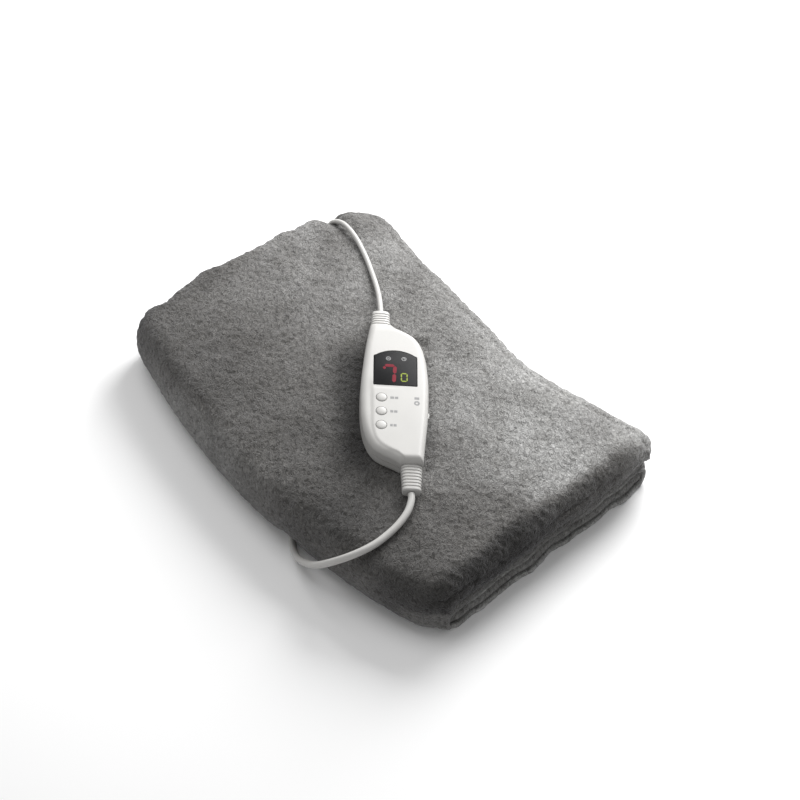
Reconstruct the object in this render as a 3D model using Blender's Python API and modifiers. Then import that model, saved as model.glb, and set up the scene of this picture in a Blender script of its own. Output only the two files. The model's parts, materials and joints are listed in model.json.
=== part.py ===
"""A heated throw folded to a bundle, with its hand controller, its two cords and a flat mains plug.

Metres, +Z up. The origin is the bundle's bottom centre. X is the bundle's short side and Y its long side.
"""

import math

import bmesh
import bpy
from mathutils import Matrix, Vector

MM = 0.001
GAP = 0.3 * MM  # room left between neighbouring pieces

# Folded throw: a 1.00 x 1.50 m throw folded 4 x 4
STACK_HEIGHT = 52 * MM
STACK_SPLIT = 27 * MM  # height of the layer that holds the wire
STACK_EDGE = 20 * MM
STACK_OUTLINE = (  # mm, counterclockwise from the front left corner
    (-97, -190.5), (-84, -192.8), (-50, -193.8), (29, -193.6), (90, -194.2), (113, -191.5), (124, -184.5),
    (125.5, -172), (118, -152), (109.5, -127), (102, -100), (97, -76), (96.5, -50), (102, -15),
    (113, 27), (121.5, 54), (128.5, 84), (134, 110), (136.5, 136), (134.5, 156), (126, 168),
    (114.5, 180), (101, 187.5), (68, 191), (12, 194), (-45, 193.4), (-92, 191), (-108, 186.5),
    (-116, 172), (-121, 143), (-130.5, 84), (-135.4, 38), (-136.5, -12), (-135.8, -60), (-132, -97),
    (-124, -137), (-106.5, -180),
)
NOTCH_AT = (95 * MM, 183 * MM)  # where the lead dips over the rear edge
NOTCH_RADIUS = 9 * MM

# Heating wire
WIRE_RADIUS = 1.1 * MM
WIRE_RUNS = 8
WIRE_PITCH = 22 * MM
WIRE_FRONT = -160 * MM
WIRE_REAR = 140 * MM
WIRE_POCKET_DEPTH = 3 * MM
WIRE_END_XS = (-12 * MM, -4 * MM)  # where its two ends go down to the socket
WIRE_END_Z = 12.9 * MM

# Hand controller, in its own axes: +Y to the display end, +X to the switch side, +Z out of its face
CONTROLLER_AT = (-9.2 * MM, -29.1 * MM, 60.1 * MM)
CONTROLLER_TURN = math.radians(-41)
CONTROLLER_ROLL = math.radians(5)
CASE_OUTLINE = (  # mm, clockwise from the upper relief's inner corner
    (-2.6, 73.0), (1.5, 67.8), (7.0, 64.6), (13.0, 60.8), (18.2, 55.0), (21.8, 47.5), (24.2, 38.0),
    (25.8, 26.0), (26.7, 12.0), (26.8, -2.0), (26.4, -16.0), (25.6, -30.0), (24.4, -43.0),
    (23.2, -56.0), (22.2, -68.0), (5.0, -68.0), (1.8, -66.0), (-3.0, -63.4), (-8.5, -61.0),
    (-14.0, -57.5), (-18.5, -52.0), (-22.0, -44.5), (-24.4, -36.0), (-26.0, -25.0), (-26.8, -12.0),
    (-26.9, 1.0), (-26.4, 14.0), (-25.3, 28.0), (-24.2, 40.0), (-22.8, 52.0), (-21.2, 63.0),
    (-19.8, 73.0),
)
CASE_CORNERS = (0, 14, 15, 31)  # the corners of its two end faces
CASE_TOP = 12 * MM
CASE_BOTTOM = -10 * MM
CASE_EDGE = 5 * MM
CASE_WALL = 2 * MM
WINDOW_LEFT = -17 * MM
WINDOW_RIGHT = 17.4 * MM
WINDOW_BOTTOM = 4.6 * MM
WINDOW_SIDE_TOP = 34.4 * MM
WINDOW_ARCH_TOP = 41 * MM
WINDOW_THICKNESS = 1.6 * MM
BUTTON_X = -10.6 * MM
BUTTON_YS = (-8.2 * MM, -22.0 * MM, -35.8 * MM)
BUTTON_NAMES = ("temperature", "timer", "boost")
BUTTON_RADIUS = 4.2 * MM
BUTTON_TRAVEL = 0.8 * MM
BUTTON_PROUD = 1.0 * MM
KNOB_Y = -16.2 * MM
KNOB_TRAVEL = 4 * MM
KNOB_LENGTH = 6 * MM
KNOB_HEIGHT = 3.4 * MM
KNOB_PROUD = 1.8 * MM
SWITCH_SIDE_X = 26.4 * MM  # the case's side at the switch
SWITCH_BODY = (6 * MM, 12 * MM, 5.5 * MM)  # width, length and height above the board
SWITCH_BODY_X = 13 * MM
BUTTON_FLANGE = 1 * MM  # width and thickness of the rim that keeps a button in
BUTTON_STEM_RADIUS = 1.8 * MM
TACT_SWITCH = (6 * MM, 4.7 * MM)  # width and height
BOARD_TOP = 0.5 * MM
BOARD_THICKNESS = 1.6 * MM
SCREW_PLACES = ((-16, 48), (12.5, 51.5), (-12.5, -51.5), (16, -48))  # mm
SCREW_RADIUS = 1.3 * MM
RELIEFS = {  # x of its middle, y of the case's end face, y of its tip, number of grooves
    "upper": (-11.2 * MM, 73 * MM, 91 * MM, 5),
    "lower": (13.5 * MM, -68 * MM, -91 * MM, 7),
}
RELIEF_INSIDE = 5 * MM  # length held in the case
RELIEF_BASE = (16 * MM, 12 * MM)  # width and height at the case's end face
RELIEF_TIP = (13.3 * MM, 9 * MM)
RELIEF_GROOVE_PITCH = 2.8 * MM
CLAMP_WIDTH = 8.8 * MM

# The throw's socket and the lead's connector, which comes in along -X
SOCKET_XS = (-28 * MM, 14 * MM)
SOCKET_YS = (172 * MM, 190 * MM)
SOCKET_ZS = (0.6 * MM, 6 * MM, 11.6 * MM)  # floor, split and top
SOCKET_WALL = 2.4 * MM
SOCKET_BACK_X = -6 * MM
CONTACT_OFFSET = 3.4 * MM  # from the middle to each contact
CONTACT_RADIUS = 2.1 * MM
CONTACT_BORE = 1.3 * MM
CONTACT_XS = (-19.5 * MM, -6.4 * MM)
PIN_RADIUS = 1.0 * MM
PIN_XS = (-14 * MM, -5.7 * MM)
NOSE_XS = (-5.4 * MM, 16 * MM)
NOSE_SIZE = (12.4 * MM, 6.2 * MM)  # width and height
GRIP_XS = (14.6 * MM, 40 * MM)
GRIP_SIZE = (18 * MM, 10.6 * MM)
LATCH_XS = (20.4 * MM, 32.2 * MM)
LATCH_WIDTH = 5.8 * MM
LATCH_ZS = (9.9 * MM, 12.2 * MM)
LATCH_ROOM_Z = 8.2 * MM  # floor of the hollow it presses into
CONNECTOR_RELIEF_XS = (40.3 * MM, 54.3 * MM)
CONNECTOR_RELIEF_RADII = (5 * MM, 3.4 * MM)

# Cords
LEAD_RADIUS = 2.2 * MM
MAINS_RADIUS = 2.8 * MM
CORD_STEP = 2.2  # distance between a cord's points, in diameters
LEAD_ROUTE = (  # mm, from the controller to the throw's connector
    (42.5, 47.4, 61.1), (45.8, 51.3, 60.9), (50.4, 57.4, 59.9), (56.4, 66, 58.2), (63.8, 78, 56.2),
    (71, 91.8, 55), (77.6, 105.5, 54.7), (83.2, 119, 54.7), (87.8, 132, 54.7), (90.8, 144, 54.6),
    (92.2, 155, 53.6), (92.5, 164.5, 49.5), (92.3, 172.5, 42.5), (91.8, 177, 33.5), (90, 179.2, 24.5),
    (85.5, 180, 16.2), (78, 180.6, 10), (68.5, 181, 6.9), (60, 181, 6), (54.6, 181, 6),
)
MAINS_ROUTE = (  # mm, from the controller to the coil
    (-59.2, -107.1, 58.9), (-63.2, -111.5, 58.6), (-72, -117.2, 58), (-84, -120.9, 57.2),
    (-95.3, -122.2, 56.4), (-107, -122.4, 55.9), (-119, -120.2, 54.8), (-129.9, -114.6, 50.5),
    (-138.2, -105.2, 41.5), (-142.4, -94.8, 31.0), (-143.2, -81.7, 20.0), (-141, -68, 10.5),
    (-135.8, -56.8, 5.0), (-128.8, -46.4, 2.9), (-118.6, -33, 2.85), (-107.0, -17.5, 2.85),
    (-97, -1, 2.95), (-90.2, 14, 3.3), (-86.4, 28.3, 3.9),
)
COIL_CENTRE = (-40 * MM, 40 * MM)
COIL_LOW_RADII = (23.9 * MM, 41.3 * MM)  # middle of the first and the last of the four lower turns
COIL_HIGH_RADII = (26.8 * MM, 38.4 * MM)  # and of the three turns nested on them
COIL_LOW_Z = 3.95 * MM
COIL_HIGH_Z = 8.97 * MM
TIE_LENGTH = 12 * MM
TIE_THICKNESS = 0.7 * MM
TAIL_ROUTE = (  # mm, from the coil to the plug
    (-1.6, 13.6, 8.9), (-1.6, 8, 8.5), (-1.6, 1, 7.8), (-1.6, -6, 7.3),
)
PLUG_AT = (-1.6 * MM, -6.3 * MM, 7.3 * MM)  # where the cord enters the plug, which points along -Y
PLUG_BODY = (35.3 * MM, 36 * MM, 13.7 * MM)
PLUG_PIN_SPACING = 19 * MM
PLUG_PIN_RADIUS = 2 * MM
PLUG_PIN_LENGTH = 19 * MM


# ---- scene, collections and materials

def clear_scene():
    for old in list(bpy.data.objects):
        bpy.data.objects.remove(old)


def new_collection(name):
    made = bpy.data.collections.new(name)
    bpy.context.scene.collection.children.link(made)
    return made


clear_scene()
PARTS = new_collection("heated_throw")
CUTTERS = new_collection("cutters")


def material(name, colour, roughness, metallic=0.0, alpha=1.0):
    made = bpy.data.materials.new(name)
    made.use_nodes = True
    shader = made.node_tree.nodes["Principled BSDF"]
    shader.inputs["Base Color"].default_value = (*colour, 1)
    shader.inputs["Roughness"].default_value = roughness
    shader.inputs["Metallic"].default_value = metallic
    shader.inputs["Alpha"].default_value = alpha
    return made


FLEECE = material("fleece", (0.2, 0.195, 0.19), 0.95)
WHITE = material("white_plastic", (0.8, 0.79, 0.77), 0.3)
CORD_WHITE = material("cord_jacket", (0.8, 0.79, 0.77), 0.4)
WINDOW_DARK = material("window", (0.02, 0.02, 0.022), 0.08)
LED_RED = material("led_red", (0.5, 0.02, 0.03), 0.4)
LED_GREEN = material("led_green", (0.35, 0.5, 0.05), 0.4)
BOARD_GREEN = material("board", (0.03, 0.2, 0.09), 0.5)
BLACK = material("black_plastic", (0.02, 0.02, 0.02), 0.5)
STEEL = material("steel", (0.6, 0.6, 0.6), 0.3, 1.0)
BRASS = material("brass", (0.75, 0.6, 0.3), 0.3, 1.0)
HEATER = material("heating_wire", (0.75, 0.35, 0.1), 0.6)


# ---- small tools

def finish(obj, mat, parent=None):
    for other in list(obj.users_collection):
        other.objects.unlink(obj)
    PARTS.objects.link(obj)
    obj.data.materials.clear()
    obj.data.materials.append(mat)
    if parent:
        obj.parent = parent
    return obj


def cutter(obj, parent=None):
    for other in list(obj.users_collection):
        other.objects.unlink(obj)
    CUTTERS.objects.link(obj)
    obj.hide_render = True
    obj.display_type = "WIRE"
    if parent:
        obj.parent = parent
    return obj


def add_object(name, data):
    obj = bpy.data.objects.new(name, data)
    bpy.context.scene.collection.objects.link(obj)
    return obj


def smooth(obj, degrees=35):
    obj.data.shade_smooth()
    obj.data.set_sharp_from_angle(angle=math.radians(degrees))
    return obj


def boolean(obj, other, operation="DIFFERENCE"):
    made = obj.modifiers.new(operation.lower(), "BOOLEAN")
    made.operation = operation
    made.object = other
    made.solver = "EXACT"
    return made


def bevel(obj, width, segments=2, angle=40):
    made = obj.modifiers.new("bevel", "BEVEL")
    made.width = width
    made.segments = segments
    made.limit_method = "ANGLE"
    made.angle_limit = math.radians(angle)
    return made


def box(name, low, high):
    """A box between two corners, with its scale applied. Its origin is its middle."""
    size = [h - l for l, h in zip(low, high)]
    mesh = bpy.data.meshes.new(name)
    shape = bmesh.new()
    bmesh.ops.create_cube(shape, size=1, matrix=Matrix.Diagonal((*size, 1)))
    shape.to_mesh(mesh)
    shape.free()
    obj = add_object(name, mesh)
    obj.location = [(l + h) / 2 for l, h in zip(low, high)]
    return obj


def rod(name, radius, low, high, at=(0, 0), axis="Z", sides=16, tip_radius=None):
    """A cylinder or cone between two heights on an axis; at is its place across the axis."""
    mesh = bpy.data.meshes.new(name)
    shape = bmesh.new()
    end = radius if tip_radius is None else tip_radius
    bmesh.ops.create_cone(
        shape, cap_ends=True, segments=sides, radius1=radius, radius2=end, depth=high - low
    )
    shape.to_mesh(mesh)
    shape.free()
    obj = add_object(name, mesh)
    middle = (low + high) / 2
    if axis == "Z":
        obj.location = (at[0], at[1], middle)
    else:
        obj.rotation_euler = (-math.pi / 2, 0, 0)
        obj.location = (at[0], middle, at[1])
    return obj


def mesh_of(curve_object):
    """The mesh of a curve object, its caps welded, in an object that takes the curve's place."""
    view = bpy.context.evaluated_depsgraph_get()
    mesh = bpy.data.meshes.new_from_object(curve_object.evaluated_get(view))
    shape = bmesh.new()
    shape.from_mesh(mesh)
    bmesh.ops.remove_doubles(shape, verts=shape.verts, dist=0.01 * MM)
    bmesh.ops.recalc_face_normals(shape, faces=shape.faces)
    shape.to_mesh(mesh)
    shape.free()
    name = curve_object.name
    matrix = curve_object.matrix_world.copy()
    bpy.data.objects.remove(curve_object)
    obj = add_object(name, mesh)
    obj.matrix_world = matrix
    return obj


def outline_block(name, points, low, high, offset=0.0, corners=(), resolution=2, edge=0.0):
    """A flat outline, smooth but for its corners, given thickness between two heights and a round edge."""
    curve = bpy.data.curves.new(name, "CURVE")
    curve.dimensions = "2D"
    curve.fill_mode = "BOTH"
    curve.resolution_u = resolution
    curve.extrude = (high - low) / 2 - edge
    curve.bevel_depth = edge
    curve.bevel_resolution = 1
    curve.offset = offset - edge
    spline = curve.splines.new("BEZIER")
    spline.bezier_points.add(len(points) - 1)
    spline.use_cyclic_u = True
    for index, (point, place) in enumerate(zip(spline.bezier_points, points)):
        point.co = (place[0] * MM, place[1] * MM, 0)
        kind = "VECTOR" if index in corners else "AUTO"
        point.handle_left_type = kind
        point.handle_right_type = kind
    obj = add_object(name, curve)
    obj.location = (0, 0, (low + high) / 2)
    bpy.context.view_layer.update()
    return mesh_of(obj)


def smooth_route(route, step):
    """Points a step apart on the smooth curve through a route, in metres. The route is in millimetres."""
    places = [Vector(place) * MM for place in route]
    places = [2 * places[0] - places[1], *places, 2 * places[-1] - places[-2]]
    fine = []
    for a, b, c, d in zip(places, places[1:], places[2:], places[3:]):
        for part in range(12):
            t = part / 12
            fine.append(
                0.5 * (2 * b + (c - a) * t + (2 * a - 5 * b + 4 * c - d) * t**2
                       + (3 * b - a - 3 * c + d) * t**3)
            )
    fine.append(places[-2])
    length = sum((q - p).length for p, q in zip(fine, fine[1:]))
    count = max(2, round(length / step))
    points = [fine[0]]
    walked = 0.0
    for p, q in zip(fine, fine[1:]):
        stretch = (q - p).length
        while walked + stretch >= len(points) * length / count and len(points) < count:
            points.append(p.lerp(q, (len(points) * length / count - walked) / stretch))
        walked += stretch
    points.append(fine[-1])
    return points


def tube(name, points, radius, mat, bevel_resolution=2):
    curve = bpy.data.curves.new(name, "CURVE")
    curve.dimensions = "3D"
    curve.bevel_depth = radius
    curve.bevel_resolution = bevel_resolution
    curve.use_fill_caps = True
    spline = curve.splines.new("POLY")
    spline.points.add(len(points) - 1)
    for point, place in zip(spline.points, points):
        point.co = (*place, 1)
    return finish(add_object(name, curve), mat)


def trough(name, points, width, low, high):
    """A cutter that follows a route in plan, between two heights."""
    curve = bpy.data.curves.new(name, "CURVE")
    curve.dimensions = "3D"
    curve.extrude = (high - low) / 2
    spline = curve.splines.new("POLY")
    spline.points.add(len(points) - 1)
    for point, place in zip(spline.points, points):
        point.co = (place[0], place[1], (low + high) / 2, 1)
    obj = mesh_of(add_object(name, curve))
    wall = obj.modifiers.new("wall", "SOLIDIFY")
    wall.thickness = width
    wall.offset = 0
    return cutter(obj)


# ---- the folded throw

def wire_points():
    """The wire's runs lie along Y, side by side, and both ends come back to the socket."""
    radius = WIRE_PITCH / 2
    first_x = -WIRE_PITCH * (WIRE_RUNS - 1) / 2
    height = STACK_SPLIT - WIRE_POCKET_DEPTH / 2
    rear = WIRE_REAR + radius + 9 * MM
    points = [*wire_end(WIRE_END_XS[0], rear, height), Vector((first_x + 8 * MM, rear, height))]
    for run in range(WIRE_RUNS):
        x = first_x + run * WIRE_PITCH
        up = run % 2 == 1
        start_y, end_y = (WIRE_FRONT, WIRE_REAR) if up else (WIRE_REAR, WIRE_FRONT)
        points.append(Vector((x, start_y, height)))
        points.append(Vector((x, end_y, height)))
        if run < WIRE_RUNS - 1:
            side = 1 if up else -1
            for part in range(1, 6):
                angle = math.pi * part / 6
                across = radius - radius * math.cos(angle)
                points.append(Vector((x + across, end_y + side * radius * math.sin(angle), height)))
    points.append(Vector((-first_x - 8 * MM, rear, height)))
    points.extend(wire_end(WIRE_END_XS[1], rear, height)[::-1])
    return points


def wire_end(x, rear, height):
    """One end, from the socket's cover up to the layer that the wire lies in."""
    return [
        Vector((x, 176 * MM, WIRE_END_Z)),
        Vector((x, 168 * MM, WIRE_END_Z)),
        Vector((x, 164 * MM, WIRE_END_Z + 3 * MM)),
        Vector((x, 163 * MM, height - 3 * MM)),
        Vector((x, rear, height)),
    ]


def pillow(name, outline, height, edge, steps):
    """A flat outline drawn up into a body with soft lower and upper edges, ring by ring."""
    flat = outline_block(name, outline, 0, 0)
    half_x = flat.dimensions.x / 2
    half_y = flat.dimensions.y / 2
    turns = [math.pi / 2 * step / steps for step in range(steps + 1)]
    rings = [(edge - edge * math.cos(turn), edge - edge * math.sin(turn)) for turn in turns]
    rings += [(height - rise, inset) for rise, inset in reversed(rings)]
    shape = bmesh.new()
    shape.from_mesh(flat.data)
    bmesh.ops.dissolve_faces(shape, faces=shape.faces)
    rim = shape.edges[:]
    at = (0.0, 1.0, 1.0)
    for z, inset in rings:
        wanted = (z, 1 - inset / half_x, 1 - inset / half_y)
        if z > 0:
            grown = bmesh.ops.extrude_edge_only(shape, edges=rim)["geom"]
            rim = [piece for piece in grown if isinstance(piece, bmesh.types.BMEdge)]
        verts = list({vert for edge_piece in rim for vert in edge_piece.verts})
        bmesh.ops.scale(shape, verts=verts, vec=(wanted[1] / at[1], wanted[2] / at[2], 1))
        bmesh.ops.translate(shape, verts=verts, vec=(0, 0, z - at[0]))
        at = wanted
    bmesh.ops.contextual_create(shape, geom=rim)
    bmesh.ops.recalc_face_normals(shape, faces=shape.faces)
    shape.to_mesh(flat.data)
    shape.free()
    return flat


def make_stack():
    whole = pillow("stack_form", STACK_OUTLINE, STACK_HEIGHT, STACK_EDGE, 4)
    far = 300 * MM
    halves = {
        "folded_throw_lower": (-far, STACK_SPLIT - GAP / 2),
        "folded_throw_upper": (STACK_SPLIT + GAP / 2, far),
    }
    made = []
    for name, (low, high) in halves.items():
        half = add_object(name, whole.data.copy())
        finish(smooth(half, 50), FLEECE)
        keep = cutter(box(name + "_keep", (-far, -far, low), (far, far, high)))
        boolean(half, keep, "INTERSECT")
        made.append(half)
    bpy.data.objects.remove(whole)
    notch = cutter(rod("notch", NOTCH_RADIUS, -10 * MM, 80 * MM, NOTCH_AT, sides=20))
    over_edge = smooth_route(LEAD_ROUTE[8:17], 2 * CORD_STEP * LEAD_RADIUS)
    groove = cutter(mesh_of(tube("lead_groove", over_edge, LEAD_RADIUS + 0.8 * MM, FLEECE)))
    for half in made:
        boolean(half, notch)
        boolean(half, groove)
    return made


def cut_underside(lower):
    """Room in the lower half for the wire, the coil, the plug, the cord and the socket."""
    half_width = WIRE_PITCH * (WIRE_RUNS - 1) / 2 + 4 * MM
    reach = WIRE_PITCH / 2 + 4 * MM
    floor = STACK_SPLIT - WIRE_POCKET_DEPTH
    over = STACK_SPLIT + 1 * MM
    rooms = {
        "wire_pocket": ((-half_width, WIRE_FRONT - reach, floor), (half_width, 166 * MM, over)),
        "wire_well": ((-17 * MM, 157 * MM, 10 * MM), (1 * MM, 169 * MM, floor + 1 * MM)),
        "plug_room": ((-21 * MM, -82 * MM, -1 * MM), (18 * MM, 40 * MM, 15 * MM)),
        "socket_room": ((-34 * MM, 168 * MM, -1 * MM), (76 * MM, 230 * MM, 14.4 * MM)),
        "lead_room": ((70 * MM, 170 * MM, -1 * MM), (98 * MM, 230 * MM, 24 * MM)),
    }
    for name, (low, high) in rooms.items():
        boolean(lower, cutter(box(name, low, high)))
    boolean(lower, cutter(rod("coil_room", 46 * MM, -1 * MM, 13.6 * MM, COIL_CENTRE, sides=48)))
    way_in = [Vector(place) * MM for place in MAINS_ROUTE[10:]]
    way_in.append(Vector((COIL_CENTRE[0] - COIL_LOW_RADII[1], COIL_CENTRE[1], 0)))
    boolean(lower, trough("cord_way", way_in, 9 * MM, -1 * MM, 9 * MM))


def sink_controller(upper, frame):
    """The controller's own hollow in the top of the bundle."""
    seat = case_form("controller_seat", 0, CASE_BOTTOM - 0.5 * MM, CASE_TOP, 0)
    boolean(upper, cutter(seat, frame))


def make_wire():
    tube("heating_wire", wire_points(), WIRE_RADIUS, HEATER)


# ---- the hand controller

def controller_frame():
    frame = add_object("controller_frame", None)
    frame.location = CONTROLLER_AT
    turn = Matrix.Rotation(CONTROLLER_TURN, 4, "Z") @ Matrix.Rotation(CONTROLLER_ROLL, 4, "Y")
    frame.rotation_euler = turn.to_euler()
    return frame


def case_form(name, inset, low, high, edge):
    return outline_block(name, CASE_OUTLINE, low, high, -inset, CASE_CORNERS, 2, edge)


def window_outline(inset):
    """Straight sides and bottom and an arched top, in mm."""
    left = (WINDOW_LEFT + inset) / MM
    right = (WINDOW_RIGHT - inset) / MM
    bottom = (WINDOW_BOTTOM + inset) / MM
    side_top = (WINDOW_SIDE_TOP - inset) / MM
    arch_top = (WINDOW_ARCH_TOP - inset) / MM
    middle = (left + right) / 2
    half = (right - left) / 2
    arch = []
    for part in range(7):
        across = 1 - 2 * part / 6
        arch.append((middle + half * across, side_top + (arch_top - side_top) * (1 - across**2) ** 0.6))
    return [(left, bottom), (right, bottom), *arch]


def window_block(name, inset, low, high):
    points = window_outline(inset)
    return outline_block(name, points, low, high, 0, range(len(points)), 1)


def relief_form(name, end, grow=0.0):
    """A flat tapered sleeve out of one end of the case."""
    middle, face, tip, _ = RELIEFS[end]
    inner = face - math.copysign(RELIEF_INSIDE, face)
    mesh = bpy.data.meshes.new(name)
    shape = bmesh.new()
    bmesh.ops.create_cube(shape, size=1)
    for vert in shape.verts:
        at_tip = vert.co.y * face > 0
        width, height = RELIEF_TIP if at_tip else RELIEF_BASE
        vert.co.x = middle + math.copysign(width / 2 + grow, vert.co.x)
        vert.co.z = math.copysign(height / 2 + grow, vert.co.z)
        vert.co.y = tip if at_tip else inner
    shape.to_mesh(mesh)
    shape.free()
    obj = add_object(name, mesh)
    bevel(obj, 3.4 * MM + grow, segments=3, angle=40)
    return obj


def make_case(frame):
    outer = cutter(case_form("case_outer", 0, CASE_BOTTOM, CASE_TOP, CASE_EDGE), frame)
    low_inside, high_inside = CASE_BOTTOM + CASE_WALL, CASE_TOP - CASE_WALL
    inner = cutter(case_form("case_inner", CASE_WALL, low_inside, high_inside, CASE_EDGE - CASE_WALL), frame)
    far = 100 * MM
    shells = []
    for name, low, high in (("upper_shell", GAP / 2, far), ("lower_shell", -far, -GAP / 2)):
        shell = finish(box(name, (-far, -far, low), (far, far, high)), WHITE, frame)
        boolean(shell, outer, "INTERSECT")
        boolean(shell, inner)
        shells.append(shell)
    upper, lower = shells
    for end in RELIEFS:
        hole = cutter(relief_form(f"relief_hole_{end}", end, GAP), frame)
        boolean(upper, hole)
        boolean(lower, hole)
    boolean(upper, cutter(window_block("window_hole", -GAP, 5 * MM, 20 * MM), frame))
    for name, y in zip(BUTTON_NAMES, BUTTON_YS):
        hole = rod(f"{name}_hole", BUTTON_RADIUS + GAP, 5 * MM, 20 * MM, (BUTTON_X, y), sides=24)
        boolean(upper, cutter(hole, frame))
    slot = box(
        "knob_slot",
        (20 * MM, KNOB_Y - KNOB_LENGTH / 2 - KNOB_TRAVEL - GAP, -KNOB_HEIGHT / 2 - GAP),
        (40 * MM, KNOB_Y + KNOB_LENGTH / 2 + GAP, KNOB_HEIGHT / 2 + GAP),
    )
    cutter(slot, frame)
    boolean(upper, slot)
    boolean(lower, slot)
    for index, (x, y) in enumerate(SCREW_PLACES, 1):
        at = (x * MM, y * MM)
        post = rod(f"post_{index}", 3 * MM, 3 * MM, CASE_TOP - 1 * MM, at, sides=16)
        boolean(upper, cutter(post, frame), "UNION")
        foot = rod(f"foot_{index}", 3 * MM, CASE_BOTTOM + 1 * MM, 2.6 * MM, at, sides=16)
        boolean(lower, cutter(foot, frame), "UNION")
        shaft = rod(f"screw_way_{index}", SCREW_RADIUS + GAP, -20 * MM, 9.5 * MM, at, sides=12)
        boolean(upper, cutter(shaft, frame))
        boolean(lower, shaft)
        head = rod(f"head_way_{index}", 2.6 * MM, -20 * MM, CASE_BOTTOM + 1.9 * MM, at, sides=16)
        boolean(lower, cutter(head, frame))
        make_screw(f"case_screw_{index}", at, frame)


def make_screw(name, at, frame):
    """Pan head and shank as one turned shape, head down in the lower shell."""
    head_low = CASE_BOTTOM + 0.3 * MM
    head_high = head_low + 1.4 * MM
    tip = 9 * MM
    profile = (
        (0, head_low), (2.2 * MM, head_low), (2.2 * MM, head_high), (SCREW_RADIUS, head_high),
        (SCREW_RADIUS, tip - 1 * MM), (0, tip),
    )
    obj = turned(name, profile[::-1], 12)
    obj.location = (at[0], at[1], 0)
    finish(smooth(obj), STEEL, frame)


def turned(name, profile, steps):
    """A profile of (radius, height), from top to bottom, turned about Z."""
    mesh = bpy.data.meshes.new(name)
    mesh.from_pydata([(r, 0, z) for r, z in profile], [(i, i + 1) for i in range(len(profile) - 1)], [])
    obj = add_object(name, mesh)
    screw = obj.modifiers.new("turn", "SCREW")
    screw.steps = steps
    screw.render_steps = steps
    screw.use_merge_vertices = True
    screw.merge_threshold = 0.001 * MM
    return obj


def make_display(frame):
    low = CASE_TOP - WINDOW_THICKNESS
    window = finish(window_block("display_window", 0, low, CASE_TOP + 0.1 * MM), WINDOW_DARK, frame)
    smooth(window)
    module_high = low - GAP
    big = box("digit_module_large", (-11 * MM, 6 * MM, BOARD_TOP + GAP), (2.6 * MM, 28 * MM, module_high))
    bevel(finish(big, LED_RED, frame), 0.4 * MM)
    small = box("digit_module_small", (3.2 * MM, 7 * MM, BOARD_TOP + GAP), (11.6 * MM, 20 * MM, module_high))
    bevel(finish(small, LED_GREEN, frame), 0.4 * MM)


def make_buttons(frame):
    """Each cap has a rim under the shell's face and a stem that reaches its switch when pressed."""
    width, height = TACT_SWITCH
    switch_low = BOARD_TOP + GAP
    switch_high = switch_low + height
    foot = switch_high + BUTTON_TRAVEL + 0.1 * MM
    top = CASE_TOP + BUTTON_PROUD
    rim_high = CASE_TOP - CASE_WALL - GAP
    rim_low = rim_high - BUTTON_FLANGE
    profile = (
        (0, top), (BUTTON_RADIUS - 1.4 * MM, top - 0.15 * MM), (BUTTON_RADIUS - 0.4 * MM, top - 0.5 * MM),
        (BUTTON_RADIUS, top - 1.2 * MM), (BUTTON_RADIUS, rim_high), (BUTTON_RADIUS + BUTTON_FLANGE, rim_high),
        (BUTTON_RADIUS + BUTTON_FLANGE, rim_low), (BUTTON_STEM_RADIUS, rim_low), (BUTTON_STEM_RADIUS, foot),
        (0, foot),
    )
    for name, y in zip(BUTTON_NAMES, BUTTON_YS):
        tact = box(
            f"tact_switch_{name}",
            (BUTTON_X - width / 2, y - width / 2, switch_low),
            (BUTTON_X + width / 2, y + width / 2, switch_high),
        )
        bevel(finish(tact, BLACK, frame), 0.5 * MM)
        button = turned(f"button_{name}", profile, 20)
        button.location = (BUTTON_X, y, 0)
        finish(smooth(button), WHITE, frame)


def make_slide_switch(frame):
    width, length, height = SWITCH_BODY
    middle = KNOB_Y - KNOB_TRAVEL / 2
    body = box(
        "slide_switch_body",
        (SWITCH_BODY_X, middle - length / 2, BOARD_TOP + GAP),
        (SWITCH_BODY_X + width, middle + length / 2, BOARD_TOP + height),
    )
    bevel(finish(body, STEEL, frame), 0.4 * MM)
    knob = box(
        "power_switch_knob",
        (SWITCH_BODY_X + width + GAP, KNOB_Y - KNOB_LENGTH / 2, -KNOB_HEIGHT / 2),
        (SWITCH_SIDE_X + KNOB_PROUD, KNOB_Y + KNOB_LENGTH / 2, KNOB_HEIGHT / 2),
    )
    bevel(finish(knob, WHITE, frame), 0.7 * MM)


def make_board(frame):
    board = outline_block(
        "circuit_board", CASE_OUTLINE, BOARD_TOP - BOARD_THICKNESS, BOARD_TOP, -3.6 * MM, CASE_CORNERS, 1
    )
    finish(board, BOARD_GREEN, frame)
    keep = box("board_keep", (-60 * MM, -50 * MM, -9 * MM), (18.6 * MM, 48 * MM, 9 * MM))
    boolean(board, cutter(keep, frame), "INTERSECT")
    for index, (x, y) in enumerate(SCREW_PLACES, 1):
        hole = rod(f"board_hole_{index}", 3.4 * MM, -9 * MM, 9 * MM, (x * MM, y * MM), sides=16)
        boolean(board, cutter(hole, frame))


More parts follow.
